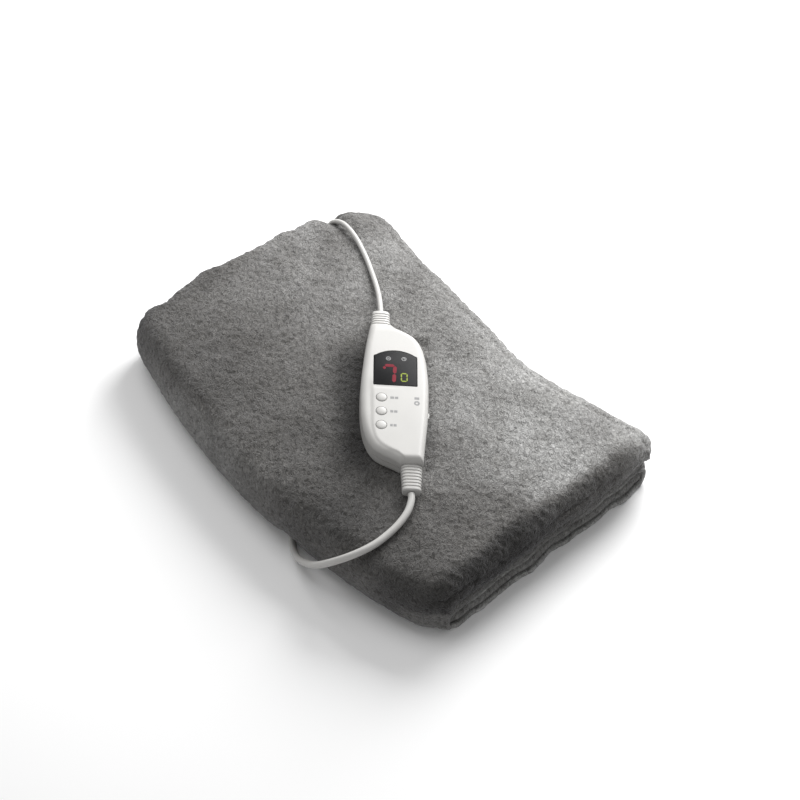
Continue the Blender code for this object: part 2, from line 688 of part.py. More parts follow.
def make_components(frame):
    """What stands on the board, above it and below it."""
    high = BOARD_TOP + GAP
    low = BOARD_TOP - BOARD_THICKNESS - GAP
    chip = box("microcontroller", (0, -24 * MM, high), (9 * MM, -12 * MM, high + 2 * MM))
    bevel(finish(chip, BLACK, frame), 0.3 * MM)
    film = box("film_capacitor", (-18 * MM, 8 * MM, low - 6 * MM), (-10 * MM, 24 * MM, low))
    bevel(finish(film, HEATER, frame), 0.6 * MM)
    triac = box("triac", (-4 * MM, 10 * MM, low - 4.6 * MM), (6 * MM, 25 * MM, low))
    bevel(finish(triac, BLACK, frame), 0.3 * MM)
    fuse = rod("fuse", 2.6 * MM, -34 * MM, -14 * MM, (4 * MM, low - 3 * MM), "Y", 16)
    finish(smooth(fuse), STEEL, frame)
    can = rod("electrolytic_capacitor", 3 * MM, -34 * MM, -20 * MM, (-8 * MM, low - 3.2 * MM), "Y", 16)
    finish(smooth(can), BLACK, frame)


def make_reliefs(frame):
    """Each relief has cross grooves on its upper side, and a bar inside the case clamps the cord."""
    for end, (middle, face, tip, grooves) in RELIEFS.items():
        relief = finish(relief_form(f"strain_relief_{end}", end), WHITE, frame)
        way = math.copysign(1, face)
        for index in range(grooves):
            y = face + way * (2.6 * MM + index * RELIEF_GROOVE_PITCH)
            share = (y - face) / (tip - face)
            width = RELIEF_BASE[0] * (1 - share) + RELIEF_TIP[0] * share
            height = RELIEF_BASE[1] * (1 - share) + RELIEF_TIP[1] * share
            groove = box(
                f"{end}_groove_{index}",
                (middle - width / 2 + 1.2 * MM, y - 0.4 * MM, height / 2 - 0.7 * MM),
                (middle + width / 2 - 1.2 * MM, y + 0.4 * MM, height / 2 + 3 * MM),
            )
            boolean(relief, cutter(groove, frame))
        bar_low, bar_high = sorted((face - way * 12 * MM, face - way * 7 * MM))
        clamp = box(
            f"cord_clamp_{end}",
            (middle - CLAMP_WIDTH / 2, bar_low, -6 * MM), (middle + CLAMP_WIDTH / 2, bar_high, -3 * MM),
        )
        bevel(finish(clamp, BLACK, frame), 0.5 * MM)


# ---- the throw's socket and the lead's connector

def make_socket():
    """The socket's two halves are sewn to the rear hem."""
    low_x, high_x = SOCKET_XS
    near, far_y = SOCKET_YS
    floor, split, top = SOCKET_ZS
    base = finish(box("socket_base", (low_x, near, floor), (high_x, far_y, split - GAP / 2)), WHITE)
    cover = finish(box("socket_cover", (low_x, near, split + GAP / 2), (high_x, far_y, top)), WHITE)
    bevel(base, 1.2 * MM)
    bevel(cover, 1.2 * MM)
    room_low = (SOCKET_BACK_X, near + SOCKET_WALL, floor + 2 * MM)
    room_high = (high_x + 6 * MM, far_y - SOCKET_WALL, top - 2 * MM)
    mouth = cutter(box("socket_mouth", room_low, room_high))
    boolean(base, mouth)
    boolean(cover, mouth)
    middle = (near + far_y) / 2
    inner, outer = CONTACT_XS
    for index, shift in enumerate((-CONTACT_OFFSET, CONTACT_OFFSET), 1):
        y = middle + shift
        seat = along_x(f"contact_seat_{index}", CONTACT_RADIUS + GAP, inner - 0.5 * MM, -5 * MM, y, split, 12)
        cutter(seat)
        boolean(base, seat)
        boolean(cover, seat)
        sleeve = along_x(f"socket_contact_{index}", CONTACT_RADIUS, inner, outer, y, split, 12)
        bore = cutter(along_x(f"contact_bore_{index}", CONTACT_BORE, -16 * MM, 0, y, split, 12))
        boolean(finish(smooth(sleeve), BRASS), bore)
    return middle, split


def along_x(name, radius, low, high, y, z, sides, tip_radius=None):
    obj = rod(name, radius, low, high, sides=sides, tip_radius=tip_radius)
    obj.rotation_euler = (0, math.pi / 2, 0)
    obj.location = ((low + high) / 2, y, z)
    return obj


def block_along_x(name, xs, y, z, width, height):
    low = (xs[0], y - width / 2, z - height / 2)
    return box(name, low, (xs[1], y + width / 2, z + height / 2))


def make_connector(y, z):
    """A nose in the socket, a grip with a latch, two pins and a relief."""
    nose = block_along_x("connector_body", NOSE_XS, y, z + 0.1 * MM, *NOSE_SIZE)
    bevel(finish(nose, WHITE), 0.8 * MM)
    grip = cutter(block_along_x("connector_grip", GRIP_XS, y, z + 0.1 * MM, *GRIP_SIZE))
    bevel(grip, 2 * MM, 3)
    boolean(nose, grip, "UNION")
    room_low = (LATCH_XS[0] - 0.4 * MM, y - LATCH_WIDTH / 2 - 0.4 * MM, LATCH_ROOM_Z)
    room_high = (LATCH_XS[1] + 0.4 * MM, y + LATCH_WIDTH / 2 + 0.4 * MM, 20 * MM)
    boolean(nose, cutter(box("latch_room", room_low, room_high)))
    latch_low = (LATCH_XS[0], y - LATCH_WIDTH / 2, LATCH_ZS[0])
    latch = box("connector_latch", latch_low, (LATCH_XS[1], y + LATCH_WIDTH / 2, LATCH_ZS[1]))
    bevel(finish(latch, WHITE), 0.6 * MM)
    for index, shift in enumerate((-CONTACT_OFFSET, CONTACT_OFFSET), 1):
        pin = along_x(f"connector_pin_{index}", PIN_RADIUS, *PIN_XS, y + shift, z, 12)
        finish(smooth(pin), BRASS)
    wide, narrow = CONNECTOR_RELIEF_RADII
    relief = along_x("connector_relief", wide, *CONNECTOR_RELIEF_XS, y, z, 20, narrow)
    finish(smooth(relief), WHITE)


# ---- the cords, the coil and the plug

def make_cords():
    tube("blanket_lead", smooth_route(LEAD_ROUTE, CORD_STEP * 2 * LEAD_RADIUS), LEAD_RADIUS, CORD_WHITE)
    tube("mains_lead", smooth_route(MAINS_ROUTE, CORD_STEP * 2 * MAINS_RADIUS), MAINS_RADIUS, CORD_WHITE)
    tube("mains_tail", smooth_route(TAIL_ROUTE, CORD_STEP * 2 * MAINS_RADIUS), MAINS_RADIUS, CORD_WHITE)


def make_coil():
    """The coil's outer shape: four turns below, three nested on them."""
    low_in, low_out = COIL_LOW_RADII[0] - MAINS_RADIUS, COIL_LOW_RADII[1] + MAINS_RADIUS
    high_in, high_out = COIL_HIGH_RADII[0] - MAINS_RADIUS, COIL_HIGH_RADII[1] + MAINS_RADIUS
    top = COIL_HIGH_Z + MAINS_RADIUS
    floor = COIL_LOW_Z - MAINS_RADIUS
    edge = 1 * MM
    shoulder = COIL_LOW_Z + edge
    profile = (
        (high_in + edge, top), (high_out - edge, top), (high_out, top - edge), (low_out, shoulder),
        (low_out, floor + edge), (low_out - edge, floor), (low_in + edge, floor), (low_in, floor + edge),
        (low_in, shoulder), (high_in, top - edge), (high_in + edge, top),
    )
    coil = turned("mains_coil", profile, 40)
    coil.location = (*COIL_CENTRE, 0)
    finish(smooth(coil), CORD_WHITE)
    make_tie(low_in, low_out, floor, top)


def make_tie(inner, outer, floor, top):
    """A strap round the turns, on the coil's rear side."""
    half = TIE_LENGTH / 2
    ring_in = math.sqrt(inner**2 - half**2)
    x, y = COIL_CENTRE
    low = (x - half, y + ring_in - 0.4 * MM, floor - GAP)
    high = (x + half, y + outer + 0.4 * MM, top + GAP)
    strap = box("coil_tie", [v - (i > 0) * TIE_THICKNESS for i, v in enumerate(low)],
                [v + (i > 0) * TIE_THICKNESS for i, v in enumerate(high)])
    hollow = cutter(box("tie_hollow", (low[0] - 1 * MM, *low[1:]), (high[0] + 1 * MM, *high[1:])))
    boolean(finish(strap, BLACK), hollow)


def make_plug():
    """A flat two-pin plug with its moulded strain relief, pins along -Y."""
    x, y, z = PLUG_AT
    width, length, thickness = PLUG_BODY
    relief_end = y - 16 * MM
    relief = rod("plug_relief", 5.2 * MM, relief_end, y, (x, z), "Y", 20, 3.7 * MM)
    finish(smooth(relief), CORD_WHITE)
    rear = relief_end - GAP
    low = (x - width / 2, rear - length, z - thickness / 2)
    body = box("mains_plug", low, (x + width / 2, rear, z + thickness / 2))
    shape = bmesh.new()
    shape.from_mesh(body.data)
    for vert in shape.verts:
        if vert.co.y > 0:
            vert.co.x *= 0.5
            vert.co.z *= 0.86
    shape.to_mesh(body.data)
    shape.free()
    bevel(finish(body, CORD_WHITE), 3 * MM, 3)
    tip = rear - length - GAP
    for index, side in enumerate((-1, 1), 1):
        at = (x + side * PLUG_PIN_SPACING / 2, z)
        pin = rod(f"plug_pin_{index}", PLUG_PIN_RADIUS, tip - PLUG_PIN_LENGTH, tip, at, "Y", 16)
        finish(smooth(pin), STEEL)


def build():
    frame = controller_frame()
    lower, upper = make_stack()
    cut_underside(lower)
    sink_controller(upper, frame)
    make_wire()
    make_case(frame)
    make_display(frame)
    make_buttons(frame)
    make_slide_switch(frame)
    make_board(frame)
    make_components(frame)
    make_reliefs(frame)
    middle, height = make_socket()
    make_connector(middle, height)
    make_cords()
    make_coil()
    make_plug()


build()
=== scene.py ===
"""A heated throw folded to a bundle, its hand controller and its cords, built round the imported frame.

Metres, +Z up. X is the bundle's short side, Y its long side, and the origin is its bottom centre.
"""

import json
from math import asin, copysign, cos, pi, radians, sin, sqrt

import bmesh
import bpy
import numpy as np
from mathutils import Matrix, Vector, noise


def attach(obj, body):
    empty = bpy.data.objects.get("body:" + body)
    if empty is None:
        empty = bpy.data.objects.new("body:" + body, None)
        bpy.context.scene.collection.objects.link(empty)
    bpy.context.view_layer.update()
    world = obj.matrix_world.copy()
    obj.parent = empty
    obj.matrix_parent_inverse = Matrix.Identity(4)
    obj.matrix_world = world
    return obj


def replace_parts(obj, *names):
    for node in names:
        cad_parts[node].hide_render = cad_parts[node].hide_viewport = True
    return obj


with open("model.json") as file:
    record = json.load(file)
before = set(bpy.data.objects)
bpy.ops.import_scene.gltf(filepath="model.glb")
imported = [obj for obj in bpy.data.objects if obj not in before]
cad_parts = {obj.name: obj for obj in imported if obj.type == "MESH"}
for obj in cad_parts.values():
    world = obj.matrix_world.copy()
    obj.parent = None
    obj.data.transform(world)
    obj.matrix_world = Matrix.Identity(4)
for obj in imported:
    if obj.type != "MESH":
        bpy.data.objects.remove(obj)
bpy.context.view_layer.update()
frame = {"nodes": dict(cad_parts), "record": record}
MM = 0.001

# Camera
TARGET = Vector((2.5, -23, 45)) * MM
CAMERA_AZIMUTH = radians(-41)
CAMERA_ELEVATION = radians(50)
CAMERA_DISTANCE = 1.3
CAMERA_LENS = 73.125

# Studio: each light's place, size and power
KEY_LIGHT = ((0.66, 0.22, 0.5), 0.6, 14.5)
TOP_LIGHT = ((-0.1, 0.5, 1.5), 1.0, 7)
SKY_STRENGTH = 0.42
FLOOR_REACH = 25
FLOOR_TONE = (0.93, 0.93, 0.93, 1)

# Throw: a 1.00 x 1.50 m sheet folded 4 x 4, four layers to a slab and four slabs to the bundle
PITCH = 3.25  # mm from one layer to the next
CLOTH = 2.5  # mm
SLAB = 4 * PITCH
HEIGHT = 4 * SLAB
LEFT, RIGHT = -136.5, 136.5  # mm, before the outline is shaped
FRONT, REAR = -188.5, 189.5
PILE = 1.2  # mm, how far its clumps stand out of the cloth
PILE_STEP = 1.35  # mm between the points of the pile's grid
HEM_RADIUS = 2.0
HEM_PAINTED_HIGHLIGHT = 1.7  # painted highlight: how much lighter the hems are painted than the cloth beside them
VALLEY_X, VALLEY_HALF = 92, 8.5  # where the lead goes over the rear edge
LEAST_HEIGHT = 0.1  # mm, how near to the floor the cloth comes
LIGHTEST_PAINTED_LIGHT = 1.25  # the painted light's brightness that the mesh's attribute calls 1
NAP_TURN = radians(-41)

# Controller, in its own axes as in the frame: +Y to the display end, +X to the switch, +Z out of its face
CONTROLLER_AT = Vector((-9.2, -29.1, 60.1)) * MM
CONTROLLER_TURN = radians(-41)
CONTROLLER_ROLL = radians(5)
CASE_OUTLINE = (
    (-2.6, 73), (1.5, 67.8), (7, 64.6), (13, 60.8), (18.2, 55), (21.8, 47.5), (24.2, 38),
    (25.8, 26), (26.7, 12), (26.8, -2), (26.4, -16), (25.6, -30), (24.4, -43),
    (23.2, -56), (22.2, -68), (5, -68), (1.8, -66), (-3, -63.4), (-8.5, -61),
    (-14, -57.5), (-18.5, -52), (-22, -44.5), (-24.4, -36), (-26, -25), (-26.8, -12),
    (-26.9, 1), (-26.4, 14), (-25.3, 28), (-24.2, 40), (-22.8, 52), (-21.2, 63),
    (-19.8, 73),
)
RIGHT_SIDE, LEFT_SIDE = slice(0, 15), slice(15, None)  # of the outline
CASE_LOW_END, CASE_HIGH_END = -68, 73
CASE_TOP, CASE_BOTTOM, CASE_EDGE = 12.0, -10.0, 5.0
CASE_WALL = 2
SEAM = 0.15  # half the gap between the shells
PLAY = 0.3  # between a moving piece and its hole
WINDOW = {"left": -17.0, "right": 17.4, "bottom": 4.6, "side_top": 34.4, "arch_top": 41.0}
BUTTON_X = -10.6
BUTTON_YS = {"temperature": -8.2, "timer": -22.0, "boost": -35.8}
BUTTON_RADIUS = 4.2
KNOB_Y, KNOB_TRAVEL, KNOB_LENGTH, KNOB_HEIGHT = -16.2, 4.0, 6.0, 3.4
KNOB_OUT, KNOB_IN = 28.2, 19.4  # x of its outer and inner face
LIT_FROM, LIT_TO, SIGN_TO = 11.8, 12.02, 12.0  # z of the lit segments and signs, in the window's outer face

# Strain reliefs
RELIEFS = {"upper": (-11.2, 73.0, 91.0), "lower": (13.5, -68.0, -91.0)}  # x, y at the case and y at the tip
RELIEF_HALF_WIDTH, RELIEF_HALF_HEIGHT = (8.0, 6.65), (6.0, 4.5)  # inside the case and at the tip
RELIEF_INSIDE = 5  # how far it reaches into the case
RELIEF_FLARE = 0.08  # how much wider it is outside the case
RELIEF_ROUNDING = 1.4
GROOVES = {"upper": 5, "lower": 7}
GROOVE_START, GROOVE_PITCH = 2.6, 2.8  # the first one's distance from the case, and from one to the next
GROOVE_HALF, GROOVE_DEPTH = 0.5, 0.75

# Cords, mm, as in the frame
LEAD_DIAMETER, MAINS_DIAMETER = 4.4, 5.6
LEAD_ROUTE = (
    (42.5, 47.4, 61.1), (45.8, 51.3, 60.9), (50.4, 57.4, 59.9), (56.4, 66, 58.2), (63.8, 78, 56.2),
    (71, 91.8, 55), (77.6, 105.5, 54.7), (83.2, 119, 54.7), (87.8, 132, 54.7), (90.8, 144, 54.6),
    (92.2, 155, 53.6), (92.5, 164.5, 49.5), (92.3, 172.5, 42.5), (91.8, 177, 33.5), (90, 179.2, 24.5),
    (85.5, 180, 16.2), (78, 180.6, 10), (68.5, 181, 6.9), (60, 181, 6), (54.6, 181, 6),
)
MAINS_ROUTE = (
    (-59.2, -107.1, 58.9), (-63.2, -111.5, 58.6), (-72, -117.2, 58), (-84, -120.9, 57.2),
    (-95.3, -122.2, 56.4), (-107, -122.4, 55.9), (-119, -120.2, 54.8), (-129.9, -114.6, 50.5),
    (-138.2, -105.2, 41.5), (-142.4, -94.8, 31.0), (-143.2, -81.7, 20.0), (-141, -68, 10.5),
    (-135.8, -56.8, 5.0), (-128.8, -46.4, 2.9), (-118.6, -33, 2.85), (-107.0, -17.5, 2.85),
    (-97, -1, 2.95), (-90.2, 14, 3.3), (-86.4, 28.3, 3.9),
)
TAIL_ROUTE = ((-1.6, 30, 8.97), (-1.6, 13.6, 8.9), (-1.6, 8, 8.5), (-1.6, 1, 7.8), (-1.6, -8, 7.3))
COIL_CENTRE = (-40.0, 40.0)
COIL_LOW = (41.3, 35.5, 29.7, 23.9)  # radius of each lower turn, from the outside in
COIL_HIGH = (26.8, 32.6, 38.4)  # and of each upper turn, nested on them, from the inside out
COIL_LOW_Z, COIL_HIGH_Z = 3.95, 8.97
CORD_STEP = 1.6  # between the points of a cord's curve


# ---- camera, lights and floor

def new_object(name, data):
    """A new object in the scene."""
    obj = bpy.data.objects.new(name, data)
    bpy.context.scene.collection.objects.link(obj)
    return obj


def make_camera():
    level = cos(CAMERA_ELEVATION)
    away = Vector((sin(CAMERA_AZIMUTH) * level, -cos(CAMERA_AZIMUTH) * level, sin(CAMERA_ELEVATION)))
    data = bpy.data.cameras.new("camera")
    data.lens = CAMERA_LENS
    camera = new_object("camera", data)
    camera.location = TARGET + away * CAMERA_DISTANCE
    camera.rotation_euler = (-away).to_track_quat("-Z", "Y").to_euler()
    bpy.context.scene.camera = camera


def area_light(name, at, size, power):
    data = bpy.data.lights.new(name, "AREA")
    data.size = size
    data.energy = power
    light = new_object(name, data)
    light.location = at
    light.rotation_euler = (TARGET - Vector(at)).to_track_quat("-Z", "Y").to_euler()


def make_studio():
    area_light("key", *KEY_LIGHT)
    area_light("top", *TOP_LIGHT)
    world = bpy.data.worlds.new("studio")
    world.use_nodes = True
    sky = world.node_tree.nodes["Background"]
    sky.inputs["Color"].default_value = (1, 1, 1, 1)
    sky.inputs["Strength"].default_value = SKY_STRENGTH
    bpy.context.scene.world = world
    bpy.context.scene.view_settings.view_transform = "Standard"
    mesh = bpy.data.meshes.new("floor")
    corners = [(x * FLOOR_REACH, y * FLOOR_REACH, 0) for x, y in ((-1, -1), (1, -1), (1, 1), (-1, 1))]
    mesh.from_pydata(corners, [], [(0, 1, 2, 3)])
    floor = new_object("floor", mesh)
    paint = bpy.data.materials.new("floor_paint")
    paint.use_nodes = True
    shader = paint.node_tree.nodes["Principled BSDF"]
    shader.inputs["Base Color"].default_value = FLOOR_TONE
    shader.inputs["Roughness"].default_value = 0.9
    mesh.materials.append(paint)


# ---- materials

class Nodes:
    """Short ways to add nodes to one material."""

    def __init__(self, name):
        self.material = bpy.data.materials.new(name)
        self.material.use_nodes = True
        self.tree = self.material.node_tree
        self.shader = self.tree.nodes["Principled BSDF"]

    def set(self, **values):
        for key, value in values.items():
            self.shader.inputs[key.replace("_", " ")].default_value = value

    def add(self, kind, settings=None, **inputs):
        node = self.tree.nodes.new("ShaderNode" + kind)
        for key, value in (settings or {}).items():
            setattr(node, key, value)
        for key, value in inputs.items():
            socket = node.inputs[key.replace("_", " ")]
            if isinstance(value, bpy.types.NodeSocket):
                self.tree.links.new(value, socket)
            else:
                socket.default_value = value
        return node

    def link(self, output, socket_name):
        self.tree.links.new(output, self.shader.inputs[socket_name])

    def place(self, scale=(1, 1, 1)):
        at = self.add("TexCoord")
        return self.add("Mapping", None, Vector=at.outputs["Object"], Scale=scale).outputs["Vector"]

    def noise(self, vector, scale, detail=2.0, rough=0.5):
        return self.add("TexNoise", None, Vector=vector, Scale=scale, Detail=detail, Roughness=rough)

    def ramp(self, value, *stops):
        node = self.add("ValToRGB", None, Fac=value)
        stops_now = node.color_ramp.elements
        while len(stops_now) < len(stops):
            stops_now.new(0.5)
        for stop, (at, colour) in zip(stops_now, stops):
            stop.position = at
            stop.color = (*colour, 1)
        return node.outputs["Color"]

    def bump(self, height, strength, distance, normal=None):
        inputs = {"Height": height, "Strength": strength, "Distance": distance}
        if normal is not None:
            inputs["Normal"] = normal
        return self.add("Bump", None, **inputs).outputs["Normal"]


def fleece_material():
    """Short brushed pile: tufts drawn out along the brushing, painted shade in the gaps between them, finer
    fibres and broad patches. The mesh's painted light and shade attribute lightens or darkens the tone."""
    n = Nodes("fleece")
    n.set(Roughness=0.9, Sheen_Weight=0.25, Sheen_Roughness=0.4, Specular_IOR_Level=0.12)
    n.shader.inputs["Sheen Tint"].default_value = (0.95, 0.95, 1, 1)
    at = n.add("TexCoord")
    along = n.add(
        "Mapping", {"vector_type": "TEXTURE"}, Vector=at.outputs["Object"], Scale=(1, 1.7, 1),
        Rotation=(0, 0, NAP_TURN),
    ).outputs["Vector"]
    clumps = n.noise(along, 400, 2, 0.55)
    clumps.inputs["Distortion"].default_value = 0.8
    fibres = n.noise(along, 1500, 2, 0.6)
    patches = n.noise(n.place(), 34, 3, 0.6)
    # the lightest tone follows the middle level of the noise, as rows of brushed tufts; the darker levels are
    # painted shade in the gaps between them
    levels = ((0.33, 0.25), (0.46, 0.4), (0.53, 0.57), (0.62, 0.33), (0.72, 0.5))
    tuft_tone_and_gap_shade = n.ramp(clumps.outputs["Fac"], *((at, (v, v - 0.002, v - 0.006)) for at, v in levels))
    fibre_tone = n.ramp(fibres.outputs["Fac"], (0.32, (0.72, 0.72, 0.72)), (0.66, (1.0, 1.0, 1.0)))
    patch_tone = n.ramp(patches.outputs["Fac"], (0.34, (0.8, 0.795, 0.785)), (0.62, (1.0, 1.0, 1.0)))
    # painted light and shade, read from the mesh's attribute, multiplies the tone
    painted_light_and_nap = n.add("Attribute", {"attribute_name": "painted_light_and_nap"})
    painted_light_tone = n.ramp(painted_light_and_nap.outputs["Fac"], (0.0, (0, 0, 0)), (0.35, (0.36, 0.351, 0.339)), (1.0, (1, 1, 0.99)))
    tone = tuft_tone_and_gap_shade
    for shade in (fibre_tone, patch_tone, painted_light_tone):
        mix = n.add("Mix", {"data_type": "RGBA", "blend_type": "MULTIPLY"}, Factor=1.0)
        n.tree.links.new(tone, mix.inputs["A"])
        n.tree.links.new(shade, mix.inputs["B"])
        tone = mix.outputs["Result"]
    n.link(tone, "Base Color")
    rough = n.bump(tuft_tone_and_gap_shade, 1.0, 2.1 * MM)
    n.link(n.bump(fibres.outputs["Fac"], 0.6, 0.8 * MM, rough), "Normal")
    return n.material


def plastic_material(name, colour, roughness, grain=900, depth=0.03, shine_level=0.5):
    """Moulded plastic: a faint grain, and a gloss that varies a little."""
    n = Nodes(name)
    n.set(Roughness=roughness, Specular_IOR_Level=shine_level)
    at = n.place()
    broad = n.noise(at, 60, 2)
    fine = n.noise(at, grain, 2)
    darker = tuple(0.95 * c for c in colour)
    n.link(n.ramp(broad.outputs["Fac"], (0.3, darker), (0.7, colour)), "Base Color")
    shine = n.add("MapRange", None, Value=broad.outputs["Fac"])
    shine.inputs["To Min"].default_value = roughness * 0.85
    shine.inputs["To Max"].default_value = roughness * 1.15
    n.link(shine.outputs["Result"], "Roughness")
    n.link(n.bump(fine.outputs["Fac"], 0.25, depth * MM), "Normal")
    return n.material


def metal_material(name, colour, roughness):
    n = Nodes(name)
    n.set(Metallic=1.0, Roughness=roughness)
    streaks = n.noise(n.place((1, 0.08, 1)), 900, 3)
    darker = tuple(0.85 * c for c in colour)
    n.link(n.ramp(streaks.outputs["Fac"], (0.3, darker), (0.7, colour)), "Base Color")
    n.link(n.bump(streaks.outputs["Fac"], 0.2, 0.02 * MM), "Normal")
    return n.material


def lit_material(name, colour, strength):
    """A lit segment, whose glow varies a little."""
    n = Nodes(name)
    n.set(Roughness=0.5, Specular_IOR_Level=0.1)
    glow = n.noise(n.place(), 400, 1)
    dim = tuple(0.75 * c for c in colour)
    tone = n.ramp(glow.outputs["Fac"], (0.3, dim), (0.7, colour))
    n.link(tone, "Base Color")
    n.link(tone, "Emission Color")
    n.shader.inputs["Emission Strength"].default_value = strength
    return n.material


WHITE_TONE = (0.465, 0.458, 0.443)
MATERIALS = {
    "fleece": fleece_material(),
    "white_plastic": plastic_material("white_plastic", WHITE_TONE, 0.36, shine_level=0.22),
    "cord_jacket": plastic_material("cord_jacket", WHITE_TONE, 0.36, 500, 0.05, 0.3),
    "window": plastic_material("window", (0.012, 0.0122, 0.0128), 0.32, 300, 0.01, 0.05),
    "led_red": lit_material("led_red", (0.17, 0.009, 0.02), 0.2),
    "led_green": lit_material("led_green", (0.22, 0.27, 0.04), 0.4),
    "board": plastic_material("board", (0.03, 0.2, 0.09), 0.45),
    "black_plastic": plastic_material("black_plastic", (0.02, 0.02, 0.02), 0.5),
    "steel": metal_material("steel", (0.62, 0.61, 0.6), 0.28),
    "brass": metal_material("brass", (0.78, 0.6, 0.3), 0.3),
    "heating_wire": plastic_material("heating_wire", (0.75, 0.35, 0.1), 0.5),
    "print_grey": plastic_material("print_grey", (0.25, 0.25, 0.25), 0.5, shine_level=0.2),
    "print_pale": plastic_material("print_pale", (0.3, 0.3, 0.3), 0.5),
}


def paint_frame_nodes():
    """Each CAD node that stays takes its own slot's material."""
    for part in frame["record"]["subparts"]:
        node = frame["nodes"][part["node"]]
        node.data.shade_smooth()
        node.data.set_sharp_from_angle(angle=radians(35))
        for slot in node.material_slots:
            slot.link = "OBJECT"
            slot.material = MATERIALS[part["material_slot"]]


def add_piece(name, data, slot, body="throw", show=None):
    """A new piece of the object, on a body. It has its slot's material, unless it shows another."""
    obj = new_object(name, data)
    data.materials.clear()
    data.materials.append(MATERIALS[show or slot])
    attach(obj, body)
    return obj


# ---- cords

def smooth_route(route, step):
    """Points a step apart on the smooth curve through a route, all in millimetres."""
    places = [Vector(place) for place in route]
    places = [2 * places[0] - places[1], *places, 2 * places[-1] - places[-2]]
    fine = []
    for a, b, c, d in zip(places, places[1:], places[2:], places[3:]):
        for t in np.arange(12) / 12:
            fine.append(
                0.5 * (2 * b + (c - a) * t + (2 * a - 5 * b + 4 * c - d) * t**2
                       + (3 * b - a - 3 * c + d) * t**3)
            )
    fine.append(places[-2])
    kept = [fine[0]]
    for point in fine[1:]:
        if (point - kept[-1]).length >= step:
            kept.append(point)
    return kept


def cord_curve(name, points, diameter, replaced):
    """A round cord through points in millimetres, in place of the CAD nodes that it replaces."""
    curve = bpy.data.curves.new(name, "CURVE")
    curve.dimensions = "3D"
    curve.bevel_depth = diameter / 2 * MM
    curve.bevel_resolution = 5
    curve.use_fill_caps = True
    spline = curve.splines.new("POLY")
    spline.points.add(len(points) - 1)
    for point, place in zip(spline.points, points):
        point.co = (*(place * MM), 1)
    spline.use_smooth = True
    obj = add_piece(name, curve, "cord_jacket")
    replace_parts(obj, *replaced)
    return obj


def coil_points():
    """Clockwise from above: four turns inwards, up, then nested turns outwards. Each turn moves over to the
    next radius in its last part."""
    jog = 0.15  # the share of a turn in which it moves to its next radius
    turns = [(radius, COIL_LOW_Z) for radius in COIL_LOW] + [(radius, COIL_HIGH_Z) for radius in COIL_HIGH]
    steps = 36
    points = []
    for index, (radius, height) in enumerate(turns[:-1]):
        next_radius, next_height = turns[index + 1]
        for step in range(steps):
            share = ease(1 - jog, 1, step / steps)
            points.append((
                index + step / steps, radius + (next_radius - radius) * share,
                height + (next_height - height) * share,
            ))
    radius, height = turns[-1]
    points += [(len(turns) - 1 + step / steps, radius, height) for step in range(steps // 2 - 1)]
    centre_x, centre_y = COIL_CENTRE
    places = []
    for turn, radius, height in points[3:]:  # the lead comes in over the first few
        angle = pi - 2 * pi * turn
        places.append((centre_x + radius * cos(angle), centre_y + radius * sin(angle), height))
    return places


def make_cords():
    route = smooth_route([*MAINS_ROUTE, *coil_points(), *TAIL_ROUTE], CORD_STEP)
    mains_nodes = ("mains_lead", "mains_coil", "mains_tail")
    mains = cord_curve("mains_cord", route, MAINS_DIAMETER, mains_nodes)
    route = smooth_route(LEAD_ROUTE, CORD_STEP)
    lead = cord_curve("throw_lead", route, LEAD_DIAMETER, ("blanket_lead",))


# ---- curves

def unit(vectors):
    return vectors / np.linalg.norm(vectors, axis=-1, keepdims=True)


def ease(low, high, value):
    """From 0 at the low value to 1 at the high one, with a soft start and end."""
    share = np.clip((value - low) / (high - low), 0, 1)
    return share * share * (3 - 2 * share)


def through(knots):
    """A smooth function of one number through a list of (number, value)."""
    xs = np.array([knot[0] for knot in knots], float)
    ys = np.array([knot[1] for knot in knots], float)
    slopes = np.gradient(ys, xs)

    def value(at):
        at = np.clip(at, xs[0], xs[-1])
        index = np.clip(np.searchsorted(xs, at) - 1, 0, len(xs) - 2)
        width = xs[index + 1] - xs[index]
        t = (at - xs[index]) / width
        return (
            (2 * t**3 - 3 * t**2 + 1) * ys[index] + (t**3 - 2 * t**2 + t) * width * slopes[index]
            + (3 * t**2 - 2 * t**3) * ys[index + 1] + (t**3 - t**2) * width * slopes[index + 1]
        )

    return value


# ---- the controller, built in its own axes in millimetres

CONTROLLER_PLACE = (
    Matrix.Translation(CONTROLLER_AT) @ Matrix.Rotation(CONTROLLER_TURN, 4, "Z")
    @ Matrix.Rotation(CONTROLLER_ROLL, 4, "Y") @ Matrix.Scale(MM, 4)
)
CASE_RIGHT = through([(y, x) for x, y in reversed(CASE_OUTLINE[RIGHT_SIDE])])
CASE_LEFT = through([(y, x) for x, y in CASE_OUTLINE[LEFT_SIDE]])
PLATEAU_EDGE = through((
    (-68, 9.5), (-64, 7), (-60, 2.5), (-57.5, -2.5), (-53.5, -8.8), (-48.5, -12.9), (-42.2, -15.1),
    (-35.6, -16.2), (-20, -16.8), (-3, -17.1), (3, -17.4), (14, -18.2),
))


def case_piece(name, mesh, slot="white_plastic", body="throw", show=None, smooth=40):
    """A finished controller piece: its mesh is moved from the controller's axes to the frame's."""
    mesh.transform(CONTROLLER_PLACE)
    obj = add_piece(name, mesh, slot, body, show)
    mesh.shade_smooth()
    mesh.set_sharp_from_angle(angle=radians(smooth))
    return obj


